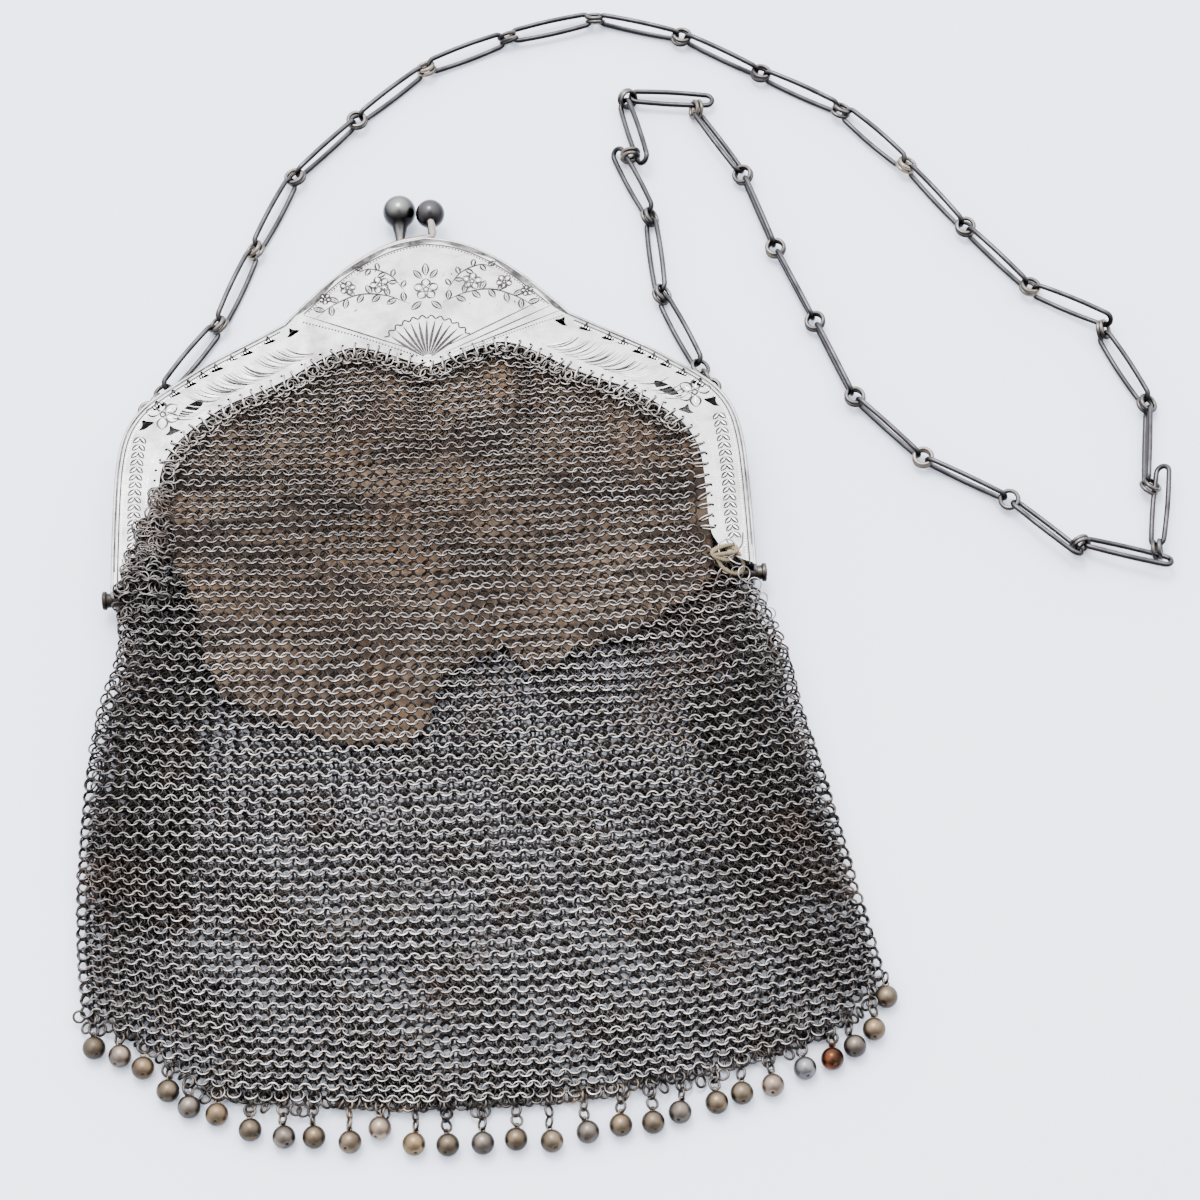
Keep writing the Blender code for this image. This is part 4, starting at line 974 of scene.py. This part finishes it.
def dome_sprays(cuts, flip):
    """Leaf sprays, blossoms and specks on one half of the dome."""
    spray = smooth_path([(3.0, 57.2), (7.5, 59.2), (12.5, 59.6), (17.5, 57.4), (20.4, 54.9)], 0.7)
    cuts.cut(spray * flip, 0.15)
    cuts.leaves(spray, flip, (1.2, 0.6, 1.6), (0.55, 0.85), (2.2, 0.95), rib=True)
    upper = smooth_path([(4.0, 60.0), (6.6, 63.6), (10.5, 65.2), (13.0, 64.0)], 0.7)
    cuts.cut(upper * flip, 0.13)
    cuts.leaves(upper, flip, (1.0, 0.4, 1.5), (0.5, 0.85), (1.7, 0.75))
    for centre, radius, turn in (((8.6, 61.6), 1.75, 0.4), ((14.6, 61.2), 1.45, 1.1),
                                 ((18.8, 59.0), 1.15, 0.7)):
        cuts.blossom(centre * flip, radius, turn + flip[0])
    for _ in range(26):
        spot = np.array([rng.uniform(3.0, 20.0), rng.uniform(55.5, 65.0)])
        spot[1] = min(spot[1], float(np.interp(spot[0], DOME[:, 0], DOME[:, 1])) - 3.0)
        cuts.cut([spot * flip, (spot + rng.normal(0, 0.25, 2)) * flip], 0.12)


def middle_of_dome(cuts):
    """Bands from the point to the ends of the dome, a fan at the point and a blossom over it."""
    cuts.dashes(smooth_path([(-1.5, 45.6), (-12.0, 50.2), (-23.8, 54.4)], 0.8), 0.62, 0.42, 0.3, 0.18, "dark")
    cuts.arc((-1.8, 46.8), (-22.8, 55.6), 0.0, 0.14)
    for start, end in (((3.2, 46.3), (23.6, 55.8)), ((2.2, 47.0), (21.8, 57.0)), ((4.6, 46.2), (25.0, 54.5))):
        cuts.arc(start, end, 0.0, 0.13)
    cuts.dashes(smooth_path([(5.4, 46.0), (15.5, 50.0), (25.6, 53.4)], 0.8), 0.55, 0.3, 0.4, 0.16, "dark")
    for angle in np.linspace(math.radians(38), math.radians(142), 11):
        cuts.arc(POINT + heading(angle), POINT + heading(angle) * 8.4, 0.015, 0.24, steps=6)
    fan = [POINT + heading(angle) * (9.2 + 0.35 * math.cos(angle * 34))
           for angle in np.linspace(math.radians(33), math.radians(147), 60)]
    cuts.cut(fan, 0.14, taper=False)
    cuts.blossom((0.0, 60.2), 2.2, math.pi / 2)
    for side in (-1, 1):
        cuts.leaf((side * 0.9, 57.6), (side * 0.75, -0.7), 2.6, 1.0)
        cuts.leaf((side * 0.8, 62.6), (side * 0.6, 0.8), 2.4, 0.9)
    cuts.leaf((0.0, 63.2), (0.0, 1.0), 2.8, 1.1)


def engrave():
    cuts = Engraving()
    laurel = smooth_path([(52.6, 31.5), (53.2, 25.0), (53.5, 17.0), (53.5, 9.0), (53.9, 4.6)], 0.8)
    for side in (-1, 1):
        flip = np.array([side, 1.0])
        border(cuts, flip)
        feathers(cuts, flip)
        corner_flower(cuts, flip)
        cuts.leaves(laurel, flip, (0.5, 0.8, 1.55), (0.80, 0.72), (1.75, 0.62), pairs=True)
        dome_sprays(cuts, flip)
    middle_of_dome(cuts)
    cuts.build()


def tarnish():
    """Broken dark line in the groove beside the rim, wider on the dome."""
    groove = outer_path[3:-3]
    normals = path_normals(groove)
    wide = 0.26 + 0.70 * np.abs(np.sin(np.arange(len(groove)) * 0.37)) * (groove[:, 1] > 56.0)
    vertices = np.full((len(groove), 2, 3), TARNISH_LEVEL)
    vertices[:, 0, :2] = groove + normals * 0.58
    vertices[:, 1, :2] = groove + normals * (0.58 + wide)[:, None]
    mesh = vertices.reshape(-1, 3), grid_quads(len(groove), 2, turned=True)
    piece("rim_tarnish_line", mesh, tarnish_line, "bright_silver")


engrave()
tarnish()


# Sewing rings, hinges and clasp

HINGE_HEIGHT = 4.3
KNUCKLE = ((0.01, 3.5), (0.55, 3.5), (0.70, 3.38), (1.45, 3.38), (1.62, 3.28), (1.68, 3.1), (1.68, 2.75),
           (1.60, 2.6), (1.36, 2.52), (1.30, 2.3), (1.30, 1.75), (1.42, 1.66), (1.42, 1.5), (1.30, 1.42),
           (1.30, 0.5), (1.42, 0.42), (1.42, 0.1), (1.1, 0.0), (0.01, 0.0))
HINGE_PIN = ((0.01, 0.0), (1.05, 0.0), (1.05, 5.0), (0.01, 5.0))


def lifted(plan, height):
    """Plan places or ways with a height."""
    return np.column_stack([plan, np.broadcast_to(height, len(plan))])


def sewing_rings():
    """Wire rings through the small holes, over the edge and into the mesh."""
    held = ~((sew_places[:, 0] < 0) & (sew_places[:, 1] < 24.0))
    places, normals = sew_places[held], sew_normals[held]
    out, along = lifted(normals, 0.0), lifted(np.column_stack([-normals[:, 1], normals[:, 0]]), 0.0)
    tilt = rng.normal(0, 0.22, len(places))[:, None]
    first = out * np.cos(tilt) + along * np.sin(tilt)
    lean = rng.normal(0, 0.16, len(places))[:, None]
    second = UP * np.cos(lean) + np.cross(UP, first) * np.sin(lean)
    front = tube_template(circle(1.40, 16) * (1.0, 0.55), 0.19, 6)
    back = tube_template(circle(1.12, 10) * (1.0, 0.85), 0.16, 4)
    upright = np.tile(UP, (len(sew_places), 1))
    parts = [copies(front, lifted(places + normals * 0.38, 8.12), first, second),
             copies(back, lifted(sew_places, 1.35), lifted(sew_normals, 0.0), upright)]
    piece("sewing_rings", joined(parts), sewing_metal, "mesh_silver")


def top_row():
    """Crowded rings that the sewing rings hold, leaning in turn to the two sides."""
    places, normals = edge_stations(inner_path, 5.0, 34.0, SEW_STEP / 2)
    held = ~((places[:, 0] < 0) & (places[:, 1] < 22.0))
    places, normals = places[held], normals[held]
    count = len(places)
    middles = lifted(places + normals * rng.normal(1.35, 0.15, count)[:, None], rng.normal(7.75, 0.12, count))
    along = lifted(np.column_stack([-normals[:, 1], normals[:, 0]]), 0.0)
    lean = (rng.normal(0.35, 0.25, count) * np.where(np.arange(count) % 2, 1, -1))[:, None]
    second = lifted(normals, 0.0) * np.cos(lean) + UP * np.sin(lean)
    mesh = copies(tube_template(circle(RING_RADIUS, 14), RING_WIRE, 5), middles, along, second)
    piece("top_row_rings", mesh, top_row_metal, "mesh_silver")


sewing_rings()
top_row()


def lathe(profile, steps):
    """A profile of (radius, height) pairs turned about Z."""
    profile = np.asarray(profile, float)
    turned = profile[:, None, :1] * circle(1.0, steps)
    heights = np.broadcast_to(profile[:, 1:], (len(profile), steps))
    return np.dstack([turned, heights]).reshape(-1, 3), grid_quads(len(profile), steps, wrap=True)


def stood(mesh, origin, axis):
    """A mesh moved to a place, with its Z axis turned along an axis."""
    vertices, quads = mesh
    third = unit(np.asarray(axis, float))
    first = unit(np.cross(UP, third))
    second = np.cross(third, first)
    return np.asarray(origin, float) + vertices @ np.array([first, second, third]), quads


def ball_profile(radius, start, steps):
    angles = np.linspace(start, math.pi - 0.02, steps)
    return [(radius * math.sin(angle), -radius * math.cos(angle)) for angle in angles]


def hinges():
    """Turned knuckles with an end flange and a groove, on a dark pin."""
    for name, side in (("hinge_left", -1), ("hinge_right", 1)):
        parts = [stood(lathe(KNUCKLE, 28), (side * 56.0, 0.0, HINGE_HEIGHT), (side, 0.0, 0.0)),
                 stood(lathe(HINGE_PIN, 16), (side * 51.3, 0.0, HINGE_HEIGHT), (side, 0.0, 0.0))]
        piece(name + "_knuckle", joined(parts), hinge_metal, "dark_hinge", name, sharp=40)


def clasp():
    """The large ball on a tapered neck from the back half, and the small one on a bent strip."""
    radius, centre, foot = 3.15, np.array([-4.8, 80.8, 3.8]), np.array([-4.8, 71.5, 2.15])
    reach = float(np.linalg.norm(centre - foot))
    neck = [(0.01, 0.0), (1.05, 0.0), (1.02, 0.4), (0.86, 0.8), (0.84, 2.6), (0.92, 4.0), (1.12, 5.0)]
    neck = [(wide, along - reach) for wide, along in neck] + [(1.42, -3.20), (1.72, -2.75)]
    large = lathe(neck + ball_profile(radius, math.radians(39), 22), 40)
    piece("clasp_large", stood(large, centre, centre - foot), ball_bright, "dark_ball_silver",
          "clasp_ball_large")
    small = stood(lathe(ball_profile(2.75, 0.02, 26), 36), (1.1, 79.0, 5.4), (0.1, 1.0, 0.1))
    piece("clasp_small", small, ball_dark, "dark_ball_silver", "clasp_ball_small")
    dome = outer_path[(outer_path[:, 0] > -16.0) & (outer_path[:, 0] < 0.9)]
    bend = ((1.35, 72.6, 7.2), (1.45, 73.6, 6.9), (1.3, 75.0, 6.6), (1.2, 76.6, 6.3))
    strip = np.vstack([lifted(offset_path(dome, -0.42), 7.4), bend])
    thickness = 0.25 + 0.75 * np.minimum(1.0, np.arange(len(strip)) / 10)
    thickness[-3:] += 0.5
    curve_piece("clasp_strip", "POLY", [strip], 0.55, 3, strip_metal, "dark_ball_silver", thickness)


hinges()
clasp()


# Chain

CHAIN_ROUTE = (  # x, y, roll, tail side, head side
    (-40.1, 57.4, 41, 0, 0), (-33.2, 73.1, 46, 0, 0), (-25.8, 88.7, 51, 0, 0), (-14.1, 102.1, 85, 0, 0),
    (-0.8, 113.8, 75, 0, 0), (15.1, 121.2, 46, 0, 0), (33.3, 125.5, 5, 0, 0), (50.6, 120.9, 85, 0, 0),
    (65.8, 111.5, 85, 0, 0), (81.3, 101.7, 75, 0, 0), (93.2, 87.7, 36, 0, 0), (103.6, 72.0, 83, 0, 0),
    (115.0, 57.5, 85, 0, 0), (126.2, 49.2, 60, 0, -1), (132.8, 31.9, 51, 0, 0), (130.7, 14.3, 80, 0, 0),
    (130.5, 2.3, 36, -1, 0), (116.7, 4.2, 29, -1, 0), (104.9, 13.9, 41, -1, 0), (89.7, 23.6, 85, 0, 0),
    (79.0, 36.5, 85, 0, 0), (72.5, 53.6, 83, 0, 0), (66.3, 70.4, 79, 0, 0), (61.5, 86.5, 85, 0, 0),
    (53.4, 102.8, 46, 0, 0), (40.0, 106.3, 5, 1, 0), (39.9, 92.9, 50, 0, -1), (42.8, 80.2, 46, 1, 0),
    (43.7, 62.3, 46, 0, 0))
LAST_ROLL, END_RING_TILT = 51, 65
LINK_HALF, LINK_SIDE, LINK_WIRE = 7.93, 1.5, 0.5
ROUND_RADIUS, ROUND_WIRE = 1.62, 0.43
EYE_RADIUS, EYE_WIRE, EYE_HEIGHT = 1.6, 0.45, 2.3
SEAT = ROUND_RADIUS - ROUND_WIRE - LINK_WIRE + 0.25


def flat_turn(direction):
    return np.array([-direction[1], direction[0], 0.0])


def flat_way(start, end):
    return unit((end - start) * (1, 1, 0))


def eye_centre(side):
    out = unit(np.array([0.64, 0.77])) * 1.8
    return np.array([side * (0.885 * HALF_WIDTH + out[0]), 0.539 * FRAME_TOP + out[1], EYE_HEIGHT])


def chain_layout():
    """Matrices (centre, first axis, second axis) of the links and the rings, as the CAD chain has them."""
    rolls = [math.radians(row[2]) for row in CHAIN_ROUTE] + [math.radians(LAST_ROLL)]
    tails = [row[3] for row in CHAIN_ROUTE] + [0]
    heads = [row[4] for row in CHAIN_ROUTE] + [0]
    count = len(rolls)
    targets = [np.array([row[0], row[1], 0.0]) for row in CHAIN_ROUTE]
    eyes = [eye_centre(-1), eye_centre(1)]
    first, last = flat_way(eyes[0], targets[0]), flat_way(eyes[1], targets[-1])
    inner = EYE_RADIUS - EYE_WIRE - ROUND_WIRE - 0.3 + ROUND_RADIUS
    outer = inner + 2 * (ROUND_RADIUS - ROUND_WIRE) + 0.25
    eye_rings = [(eyes[0] + first * inner, first), (eyes[1] + last * inner, last)]
    targets = [eyes[0] + first * outer] + targets + [eyes[1] + last * outer]
    ways = [flat_way(before, after) for before, after in zip(targets, targets[1:])]
    ring_ways = [first]
    for index in range(1, count):
        arriving, leaving = ways[index - 1], ways[index]
        if heads[index - 1]:
            arriving = flat_turn(arriving) * heads[index - 1]
        if tails[index]:
            leaving = flat_turn(leaving) * -tails[index]
        ring_ways.append(unit(arriving + leaving))
    ring_ways.append(-last)
    tilts, heights = [math.radians(END_RING_TILT)], [EYE_HEIGHT]
    for index in range(1, count):
        arriving = 0.0 if heads[index - 1] else rolls[index - 1]
        leaving = 0.0 if tails[index] else rolls[index]
        tilt = (arriving + leaving) / 2
        tilts.append(tilt)
        lowest = ROUND_RADIUS * math.cos(tilt) + ROUND_WIRE
        for link in (index - 1, index):
            lowest = max(lowest, LINK_SIDE * math.sin(rolls[link]) + LINK_WIRE)
        heights.append(lowest)
    tilts.append(math.radians(END_RING_TILT))
    heights.append(EYE_HEIGHT)
    for target, height in zip(targets, heights):
        target[2] = height

    def step(start, aim):
        rise = aim[2] - start[2]
        reach = math.sqrt((2 * LINK_HALF) ** 2 - rise ** 2)
        way = flat_way(start, aim)
        return np.array([start[0] + way[0] * reach, start[1] + way[1] * reach, aim[2]])

    centres = list(targets)
    for index in range(1, count - 2):
        if tails[index - 1] or heads[index - 1]:
            continue
        start = centres[index - 1] + ring_ways[index - 1] * SEAT
        centres[index] = step(start, targets[index] - ring_ways[index] * SEAT) + ring_ways[index] * SEAT
    for index in range(count - 1, count - 3, -1):
        start = centres[index + 1] - ring_ways[index + 1] * SEAT
        centres[index] = step(start, targets[index] + ring_ways[index] * SEAT) - ring_ways[index] * SEAT
    links = []
    for link in range(count):
        start = centres[link] + ring_ways[link] * SEAT
        end = centres[link + 1] - ring_ways[link + 1] * SEAT
        span = float(np.linalg.norm(end - start))
        tail, head = np.array([-LINK_HALF, 0.0]), np.array([LINK_HALF, 0.0])
        slid = 2 * LINK_HALF - math.sqrt(max(span ** 2 - LINK_SIDE ** 2, 0.0))
        if tails[link]:
            tail = np.array([-LINK_HALF + slid, LINK_SIDE * tails[link]])
        elif heads[link]:
            head = np.array([LINK_HALF - slid, LINK_SIDE * heads[link]])
        forward = unit(end - start)
        left = unit(np.cross(UP, forward))
        across = left * math.cos(rolls[link]) + np.cross(forward, left) * math.sin(rolls[link])
        lean = math.atan2(head[1] - tail[1], head[0] - tail[0])
        along = forward * math.cos(lean) - across * math.sin(lean)
        aside = forward * math.sin(lean) + across * math.cos(lean)
        centre = start - along * tail[0] - aside * tail[1]
        lowest = centre[2] - abs(aside[2]) * LINK_SIDE - abs(along[2]) * LINK_HALF - LINK_WIRE
        centre[2] -= min(lowest, 0.0)
        links.append((centre, along, aside))
    rings = []
    for centre, way, tilt in zip(centres, ring_ways, tilts):
        standing = UP * math.cos(tilt) - flat_turn(way) * math.sin(tilt)
        rings.append((centre, way, standing))
    ends = [(centre, way, UP) for centre, way in eye_rings]
    return links, rings, ends, eyes


def link_path():
    """A long link's wire: round ends and gently bowed sides."""
    end_radius = 1.28
    half = LINK_HALF - end_radius
    turn = np.linspace(-math.pi / 2, math.pi / 2, 11)
    right = np.column_stack([half + end_radius * np.cos(turn), end_radius * np.sin(turn)])
    x = np.linspace(half, -half, 13)[1:-1]
    top = np.column_stack([x, end_radius + (LINK_SIDE - end_radius) * np.cos(math.pi * x / (2 * half))])
    return np.vstack([right, top, -right, -top])


def chain():
    """The long links, and two round rings at each joint."""
    links, rings, ends, eyes = chain_layout()
    mesh = placed_copies(tube_template(link_path(), LINK_WIRE, 8), links)
    piece("chain_links", mesh, chain_metal, "oxidised_silver", "shoulder_chain")
    rows = []
    for centre, way, standing in rings[1:-1]:
        axis = np.cross(way, standing)
        for side in (-1, 1):
            turn, slide = rng.normal(0, 0.10), rng.normal(0, 0.10)
            leaning = unit(standing + axis * turn * side)
            rows.append((centre + axis * 0.47 * side + way * slide, way, leaning))
    rows += [rings[0], rings[-1]] + ends
    round_ring = tube_template(circle(ROUND_RADIUS, 24), ROUND_WIRE - 0.03, 8)
    eye = tube_template(circle(EYE_RADIUS, 24), EYE_WIRE, 8)
    flat = [(centre, np.array([1.0, 0.0, 0.0]), np.array([0.0, 1.0, 0.0])) for centre in eyes]
    parts = [placed_copies(round_ring, rows), placed_copies(eye, flat)]
    piece("chain_rings", joined(parts), ring_metal, "oxidised_silver")


chain()


# Ball drops

BALL_RADIUS, BALL_LIFT = 1.95, 0.02
DROP_RING, DROP_WIRE = 0.96, 0.24
silver_drop = metal_tarnish_and_top_light("drop_silver", (0.05, 0.047, 0.05), (0.28, 0.265, 0.272), (0.30, 0.44), 0.0, 1.0,
                         260.0, 0.4)
amber_drop = metal_tarnish_and_top_light("drop_amber", (0.015, 0.006, 0.0045), (0.13, 0.055, 0.026), (0.2, 0.4), 0.1, 1.0,
                        330.0, 0.9, (0.24, 0.045, 0.012))
DROP_TONES = (  # name, dark, bright, grain, warm
    ("drop_brown", (0.018, 0.0135, 0.010), (0.185, 0.136, 0.090), 260.0, (0.20, 0.135, 0.075)),
    ("drop_olive", (0.019, 0.0145, 0.011), (0.172, 0.131, 0.090), 300.0, (0.20, 0.15, 0.10)),
    ("drop_grey", (0.021, 0.017, 0.015), (0.182, 0.150, 0.124), 280.0, (0.27, 0.20, 0.15)))
COMMON_DROPS = [metal_tarnish_and_top_light(name, dark, bright, (0.32, 0.46), 0.15, 1.0, grain, 0.5, warm)
                for name, dark, bright, grain, warm in DROP_TONES]
# Dark disc for the inside of a ball's hole: painted shade.
hole_dark = metal_tarnish_and_top_light("hole_dark", (0.02, 0.018, 0.016), (0.08, 0.07, 0.06), (0.5, 0.7), 0.0, 1.0)


def drop_material(number):
    return {24: silver_drop, 25: amber_drop}.get(number, COMMON_DROPS[number % len(COMMON_DROPS)])


def hem_height(x):
    return float(np.interp(x, HEM[:, 0], HEM[:, 1]))


def rolled(way, roll):
    """A unit vector across a way, rolled about it from the level."""
    aside = unit(np.cross(UP, way))
    return aside * math.cos(roll) + np.cross(way, aside) * math.sin(roll)


def hem_rings():
    """Loose dark rings along the hem."""
    rows = []
    for x in np.arange(HEM[0, 0] + 1.0, HEM[-1, 0] - 0.5, 1.25):
        way = unit(np.array([rng.normal(0, 0.5), 1.0, rng.normal(0, 0.25)]))
        standing = rolled(way, rng.uniform(-1.2, 1.2))
        low_by = -1.0 if rng.random() < 0.22 else 0.55 * rng.random() + 0.2
        rows.append((np.array([x, hem_height(x) + low_by, 1.2 + 0.8 * rng.random()]), way, standing))
    return rows


def ball_drop(number):
    """A hollow ball with an eyelet and a small hole, whose dark inside is a disc of painted shade. The rings
    that hang it from the hem are returned.
    """
    low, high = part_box(f"drop_{number:02d}")
    centre = np.array([(low[0] + high[0]) / 2 / MM, low[1] / MM + BALL_RADIUS, 0.0]) - ORIGIN
    centre[2] = BALL_RADIUS + BALL_LIFT
    swing = rng.normal(0, 0.16)
    toward = unit(np.array([swing, 1.0, 0.10 * rng.random()]))
    hole_way = unit(np.array([rng.normal(0, 0.35), -1.0, 0.35 + 0.5 * rng.random()]))
    ball = [(BALL_RADIUS * math.sin(angle), BALL_RADIUS * math.cos(angle))
            for angle in np.linspace(0.17, math.pi - 0.15, 15)]
    rim = [(0.27, -BALL_RADIUS * 0.965), (0.24, -BALL_RADIUS * 0.80), (0.01, -BALL_RADIUS * 0.78)]
    eye_at = centre + toward * (BALL_RADIUS + 0.30)
    hook = (eye_at, toward, unit(np.cross(toward, UP)))
    eyelet = placed_copies(tube_template(circle(0.42, 10), 0.14, 5), [hook])
    turned = stood(lathe([(0.01, 1.9)] + ball + rim, 22), centre, -hole_way)
    piece(f"drop_ball_{number:02d}", joined([turned, eyelet]), drop_material(number), "brassy_ball",
          f"drop_{number:02d}")
    # Painted shade: a dark disc in the hole for the shaded inside of the ball.
    if number % 7 != 3:
        disc = lathe([(0.01, 0.0), (0.25, 0.0)], 12)
        disc = stood(disc, centre + hole_way * BALL_RADIUS * 0.955, -hole_way)
        piece(f"drop_hole_shade_{number:02d}", disc, hole_dark, "brassy_ball")
    top = np.array([centre[0] + swing * 1.5, hem_height(centre[0]) + 0.9, 1.9])
    start = eye_at + toward * 0.1
    links = max(1, round(float(np.linalg.norm(top - start)) / 1.6))
    rows = []
    for link in range(links):
        roll = math.radians(rng.uniform(20, 80) if (link + number) % 2 else rng.uniform(-70, -25))
        way = unit(top - start)
        rows.append((start + (top - start) * (link + 0.5) / links, way, rolled(way, roll)))
    return rows


def drops():
    rows = hem_rings()
    for number in range(1, DROP_COUNT + 1):
        rows += ball_drop(number)
    rows = [(np.array([*centre[:2], max(centre[2], DROP_RING * abs(standing[2]) + 0.2)]), way, standing)
            for centre, way, standing in rows]
    mesh = placed_copies(tube_template(circle(DROP_RING, 14), DROP_WIRE, 6), rows)
    piece("drop_rings", mesh, drop_ring_metal, "mesh_silver")


drops()


# Thread knot and loose rings at the right hinge

THREAD_TAIL = np.array([(53.2, 2.6, 9.4), (54.3, 1.9, 8.8), (55.0, 0.9, 7.6), (55.3, -0.2, 6.4),
                        (54.2, -1.2, 6.2), (52.4, -1.0, 6.8), (50.8, 0.2, 7.6), (50.2, 2.0, 8.4)])
LOOSE_RINGS = (  # centre, first axis, second axis before it is squared, size
    ((52.3, 2.6, 9.3), (0.9, 0.35, 0.1), (-0.3, 0.85, 0.35), 1.0),
    ((53.6, 0.6, 8.6), (0.8, -0.5, -0.2), (0.3, 0.6, -0.6), 0.85),
    ((55.1, -1.6, 7.3), (0.7, 0.6, -0.2), (-0.4, 0.6, 0.6), 0.8),
    ((56.9, -3.4, 6.3), (0.8, -0.5, -0.2), (0.5, 0.6, 0.5), 0.75),
    ((58.2, -5.8, 5.2), (0.6, 0.7, 0.0), (-0.5, 0.4, 0.7), 0.7),
    ((59.3, -8.4, 4.4), (0.9, -0.1, -0.3), (0.2, 0.8, 0.5), 0.7))


def knot():
    """Three uneven loops of thread, one over the other, with a tail."""
    turn = np.linspace(0, 2 * math.pi, 26)
    loops = []
    for number in range(3):
        phase = number * 2.1
        x = 51.9 + (1.9 + 0.25 * number) * np.cos(turn) + 0.25 * np.sin(3 * turn + phase)
        y = 2.2 + (1.35 - 0.2 * number) * np.sin(turn + 0.3 * number) + 0.2 * np.cos(2 * turn + phase)
        z = 8.45 + 0.30 * number + 0.25 * np.sin(2 * turn + phase)
        loops.append(np.column_stack([x, y, z]))
    curve_piece("thread_knot", "NURBS", loops + [THREAD_TAIL], 0.34, 2, thread_beige, "brown_lining")


def loose_rings():
    rows = []
    for centre, first, second, _ in LOOSE_RINGS:
        way = unit(np.array(first))
        rows.append((np.array(centre), way, unit(np.array(second) - way * np.dot(second, way))))
    sizes = np.array([row[3] for row in LOOSE_RINGS])
    mesh = placed_copies(tube_template(circle(1.6, 20), 0.17, 6), rows, sizes)
    piece("loose_rings", mesh, sewing_metal, "mesh_silver")


knot()
loose_rings()


# Floor, light and camera

PHOTO_HALF_WIDTH, PHOTO_FOCAL = 600, 3200  # pixels


def floor():
    look = Look("pale_ground")
    look.set("Base Color", look.mix(look.noise(3.0, 2.0), (0.815, 0.870, 0.990), (0.83, 0.885, 1.0)))
    look.set("Roughness", 0.7)
    vertices = np.array([(-2.5, -2.5, 0.0), (2.5, -2.5, 0.0), (2.5, 2.5, 0.0), (-2.5, 2.5, 0.0)])
    array_mesh("ground", vertices, np.array([(0, 1, 2, 3)]), look.owner, smooth=False)


def facing(place, aim):
    """Rotation that points a light or a camera from a place to its aim."""
    return (Vector(aim) - Vector(place)).to_track_quat("-Z", "Y").to_euler()


def key_light(place, size, power, colour):
    """A round light that faces the middle of the purse."""
    light = bpy.data.lights.new("key", "AREA")
    light.shape = "DISK"
    light.size = size
    light.energy = power
    light.color = colour
    obj = bpy.data.objects.new("key", light)
    obj.location = place
    obj.rotation_euler = facing(place, (0.0, 0.0, 0.0))
    bpy.context.scene.collection.objects.link(obj)


def surroundings():
    """A wide soft ceiling light toward the far side, dimmer toward the near horizon and the camera."""
    studio = Tree(bpy.data.worlds.new("studio"))
    direction = studio.nodes.new("ShaderNodeTexCoord").outputs["Generated"]

    def toward(way, *ends):
        """A strength that goes with the angle to one way."""
        inputs = {0: direction, 1: unit(np.array(way))}
        dot = studio.node("ShaderNodeVectorMath", inputs, operation="DOT_PRODUCT")
        return studio.span(dot.outputs["Value"], *ends)

    ceiling = toward((-0.05, 0.36, 0.93), 0.1, 0.9, 2.45, 5.20)
    near = toward((0.1, -0.93, 0.2), 0.25, 0.95, 1.0, 0.25)
    camera_side = toward((0.0, -0.454, 0.891), 0.93, 0.985, 1.0, 0.45)
    background = studio.nodes["Background"]
    studio.feed(background.inputs["Strength"], studio.times(studio.times(ceiling, near), camera_side))
    studio.feed(background.inputs["Color"], (0.95, 0.965, 1.0))
    bpy.context.scene.world = studio.owner


def photo_camera(place, aim):
    data = bpy.data.cameras.new("photo_camera")
    data.sensor_fit = "HORIZONTAL"
    data.angle = 2 * math.atan(PHOTO_HALF_WIDTH / PHOTO_FOCAL)
    camera = bpy.data.objects.new("photo_camera", data)
    camera.location = place
    camera.rotation_euler = facing(place, aim)
    bpy.context.scene.collection.objects.link(camera)
    bpy.context.scene.camera = camera


floor()
key_light((-0.16, 0.42, 1.10), 0.50, 12.5, (1.0, 0.99, 0.97))
surroundings()
photo_camera(world((16.6, -263.2, 513.2)), world((29.4, -1.97, 0.0)))

bpy.context.view_layer.update()
